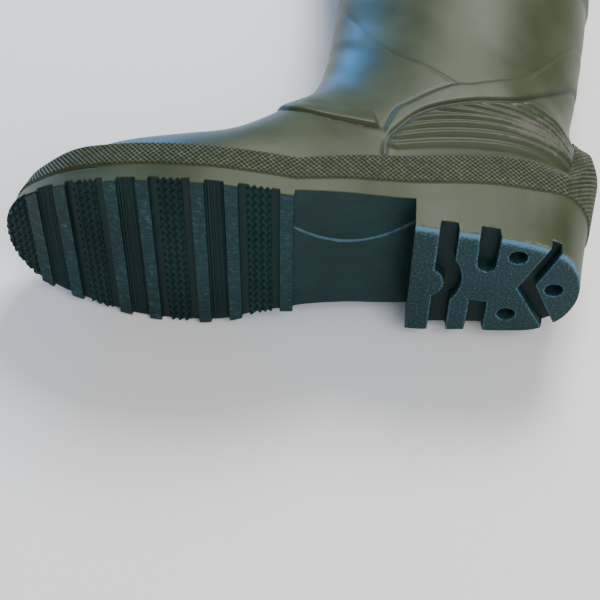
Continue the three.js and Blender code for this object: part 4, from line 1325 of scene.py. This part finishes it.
def fold_depth(share, across):
    """Depth of the folds: for each, a soft trough about a straight line, deepest at its middle."""
    wide = HEM_WIDTH / 2 / (LEG_TOP - SHAFT_HEIGHT)
    total = np.zeros(np.broadcast(share, across).shape)
    for start_up, start_across, end_up, end_across, spread, depth in FOLDS:
        line = np.array([[start_up, wide * start_across], [end_up, wide * end_across]])
        away, reach = near_line(share + 0 * across, wide * across + 0 * share, line)
        ends = np.sin(np.pi * np.clip(reach, 0, 1)) ** 0.5
        total += depth * HEM_THICKNESS * groove(away, spread) * ends
    return total * smooth(share, 0, 0.12)


def leg_surface(up, turns):
    """Places on the leg, for heights as rows and turns as columns."""
    share = np.clip((up - SHAFT_HEIGHT) / (LEG_TOP - SHAFT_HEIGHT), 0, 1)
    slack = np.sin(np.pi / 2 * share) ** SLACK_POWER
    shaft_half = (SHAFT_FRONT - SHAFT_BACK) / 2 + GAP + LEG_WALL
    shaft_thick = (FORM[-1][4] + FORM[-1][5]) * BALL_WIDTH + 2 * (GAP + LEG_WALL)
    half = shaft_half + (HEM_WIDTH / 2 - shaft_half) * slack
    thick = shaft_thick + (HEM_THICKNESS - shaft_thick) * slack
    across, lift = rounded(np.cos(turns), LEG_SQUARE), rounded(np.sin(turns), LEG_SQUARE)
    pressed = np.clip(lift, 0, 1) * fold_depth(share, across)
    hem = HEM_RAISE * smooth(up, LEG_TOP - HEM_HEIGHT - 0.6, LEG_TOP - HEM_HEIGHT + 0.4)
    ripple = RIPPLE * smooth(share, 0.03, 0.2) * np.sin(9 * turns + 5 * share)
    ripple = ripple * np.sin(23 * share + 2 * across)
    ripple *= smooth(lift, 0.05, 0.4)
    spare = HEM_RAISE * smooth(share, 0.01, 0.12) - hem
    out = GROUND + thick / 2 + (thick / 2 - spare) * lift - pressed + ripple
    along = SHAFT_MIDDLE + HEM_SHIFT * slack + (half - spare) * across
    return np.stack([along, out, up + 0 * along], axis=-1)


leg_up = np.concatenate([np.linspace(SHAFT_HEIGHT - LEG_OVERLAP, LEG_TOP - HEM_HEIGHT - 0.8, 190),
                         np.linspace(LEG_TOP - HEM_HEIGHT - 0.5, LEG_TOP - HEM_HEIGHT + 0.5, 5),
                         np.linspace(LEG_TOP - HEM_HEIGHT + 1, LEG_TOP, 16)])
leg_turns = np.linspace(0, 2 * np.pi, 180, endpoint=False)
leg_grid = leg_surface(leg_up[:, None], leg_turns[None, :])
print("leg grid", leg_grid.shape[:2])

# %% [markdown]
# The fabric is woven and coated on both sides, so its weave shows as a fine relief and its
# gloss is low. The weave follows a map whose lengths are those of the cloth.

# %% Coated fabric and the leg piece
CLOTH_ROUGHNESS, CLOTH_DUST = 0.62, (0.16, 0.16, 0.13, 1)


def coated_fabric(name, deep, pale, threads):
    """Coated fabric: a fine plain weave under a matt coat, from two crossed waves on its UV map."""
    material, tree, shader = new_material(name)
    spread = tree.nodes.new("ShaderNodeSeparateXYZ")
    uv = tree.nodes.new("ShaderNodeUVMap")
    uv.uv_map = "cloth"
    tree.links.new(uv.outputs["UV"], spread.inputs["Vector"])
    waves = [sums(tree, "SINE", sums(tree, "MULTIPLY", spread.outputs[axis], threads * 2 * math.pi))
             for axis in ("X", "Y")]
    weave = sums(tree, "MULTIPLY", waves[0], waves[1])
    grain = placed(tree, GRAIN, Scale=1800.0, Mottle_Scale=14.0)
    dusty = placed(tree, DUST, Amount=0.2)["Dust"]
    plain = mixed(tree, grain["Mottle"], (*deep, 1), (*pale, 1))
    tree.links.new(mixed(tree, dusty, plain, CLOTH_DUST), shader.inputs["Base Color"])
    shader.inputs["Roughness"].default_value = CLOTH_ROUGHNESS
    height = sums(tree, "ADD", weave, sums(tree, "MULTIPLY", grain["Height"], 0.8))
    bumped(tree, shader, height, 0.12, 0.6)
    return material


leg_cloth = coated_fabric("coated_leg_fabric", (0.040, 0.051, 0.026), (0.058, 0.071, 0.039), 900.0)
leg_faces = [grid_faces(len(leg_up), len(leg_turns), True)]
leg = make_piece("leg_cloth", place(*leg_grid.reshape(-1, 3).T), leg_faces, [leg_cloth])
cloth_map = leg.data.uv_layers.new(name="cloth")
corner_points = np.empty(len(leg.data.loops), int)
leg.data.loops.foreach_get("vertex_index", corner_points)
corner_row, corner_column = np.divmod(corner_points, len(leg_turns))
last_face = np.repeat(corner_column.reshape(-1, 4).max(axis=1) == len(leg_turns) - 1, 4)
wrapped = last_face & (corner_column == 0)
around = np.where(wrapped, len(leg_turns), corner_column) / len(leg_turns)
uv_values = np.column_stack([around * 2 * HEM_WIDTH * MM, leg_up[corner_row] * MM])
cloth_map.data.foreach_set("uv", uv_values.ravel().astype(np.float32))
wall = leg.modifiers.new("wall", "SOLIDIFY")
wall.thickness = LEG_WALL * MM
wall.offset = -1
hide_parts("leg")
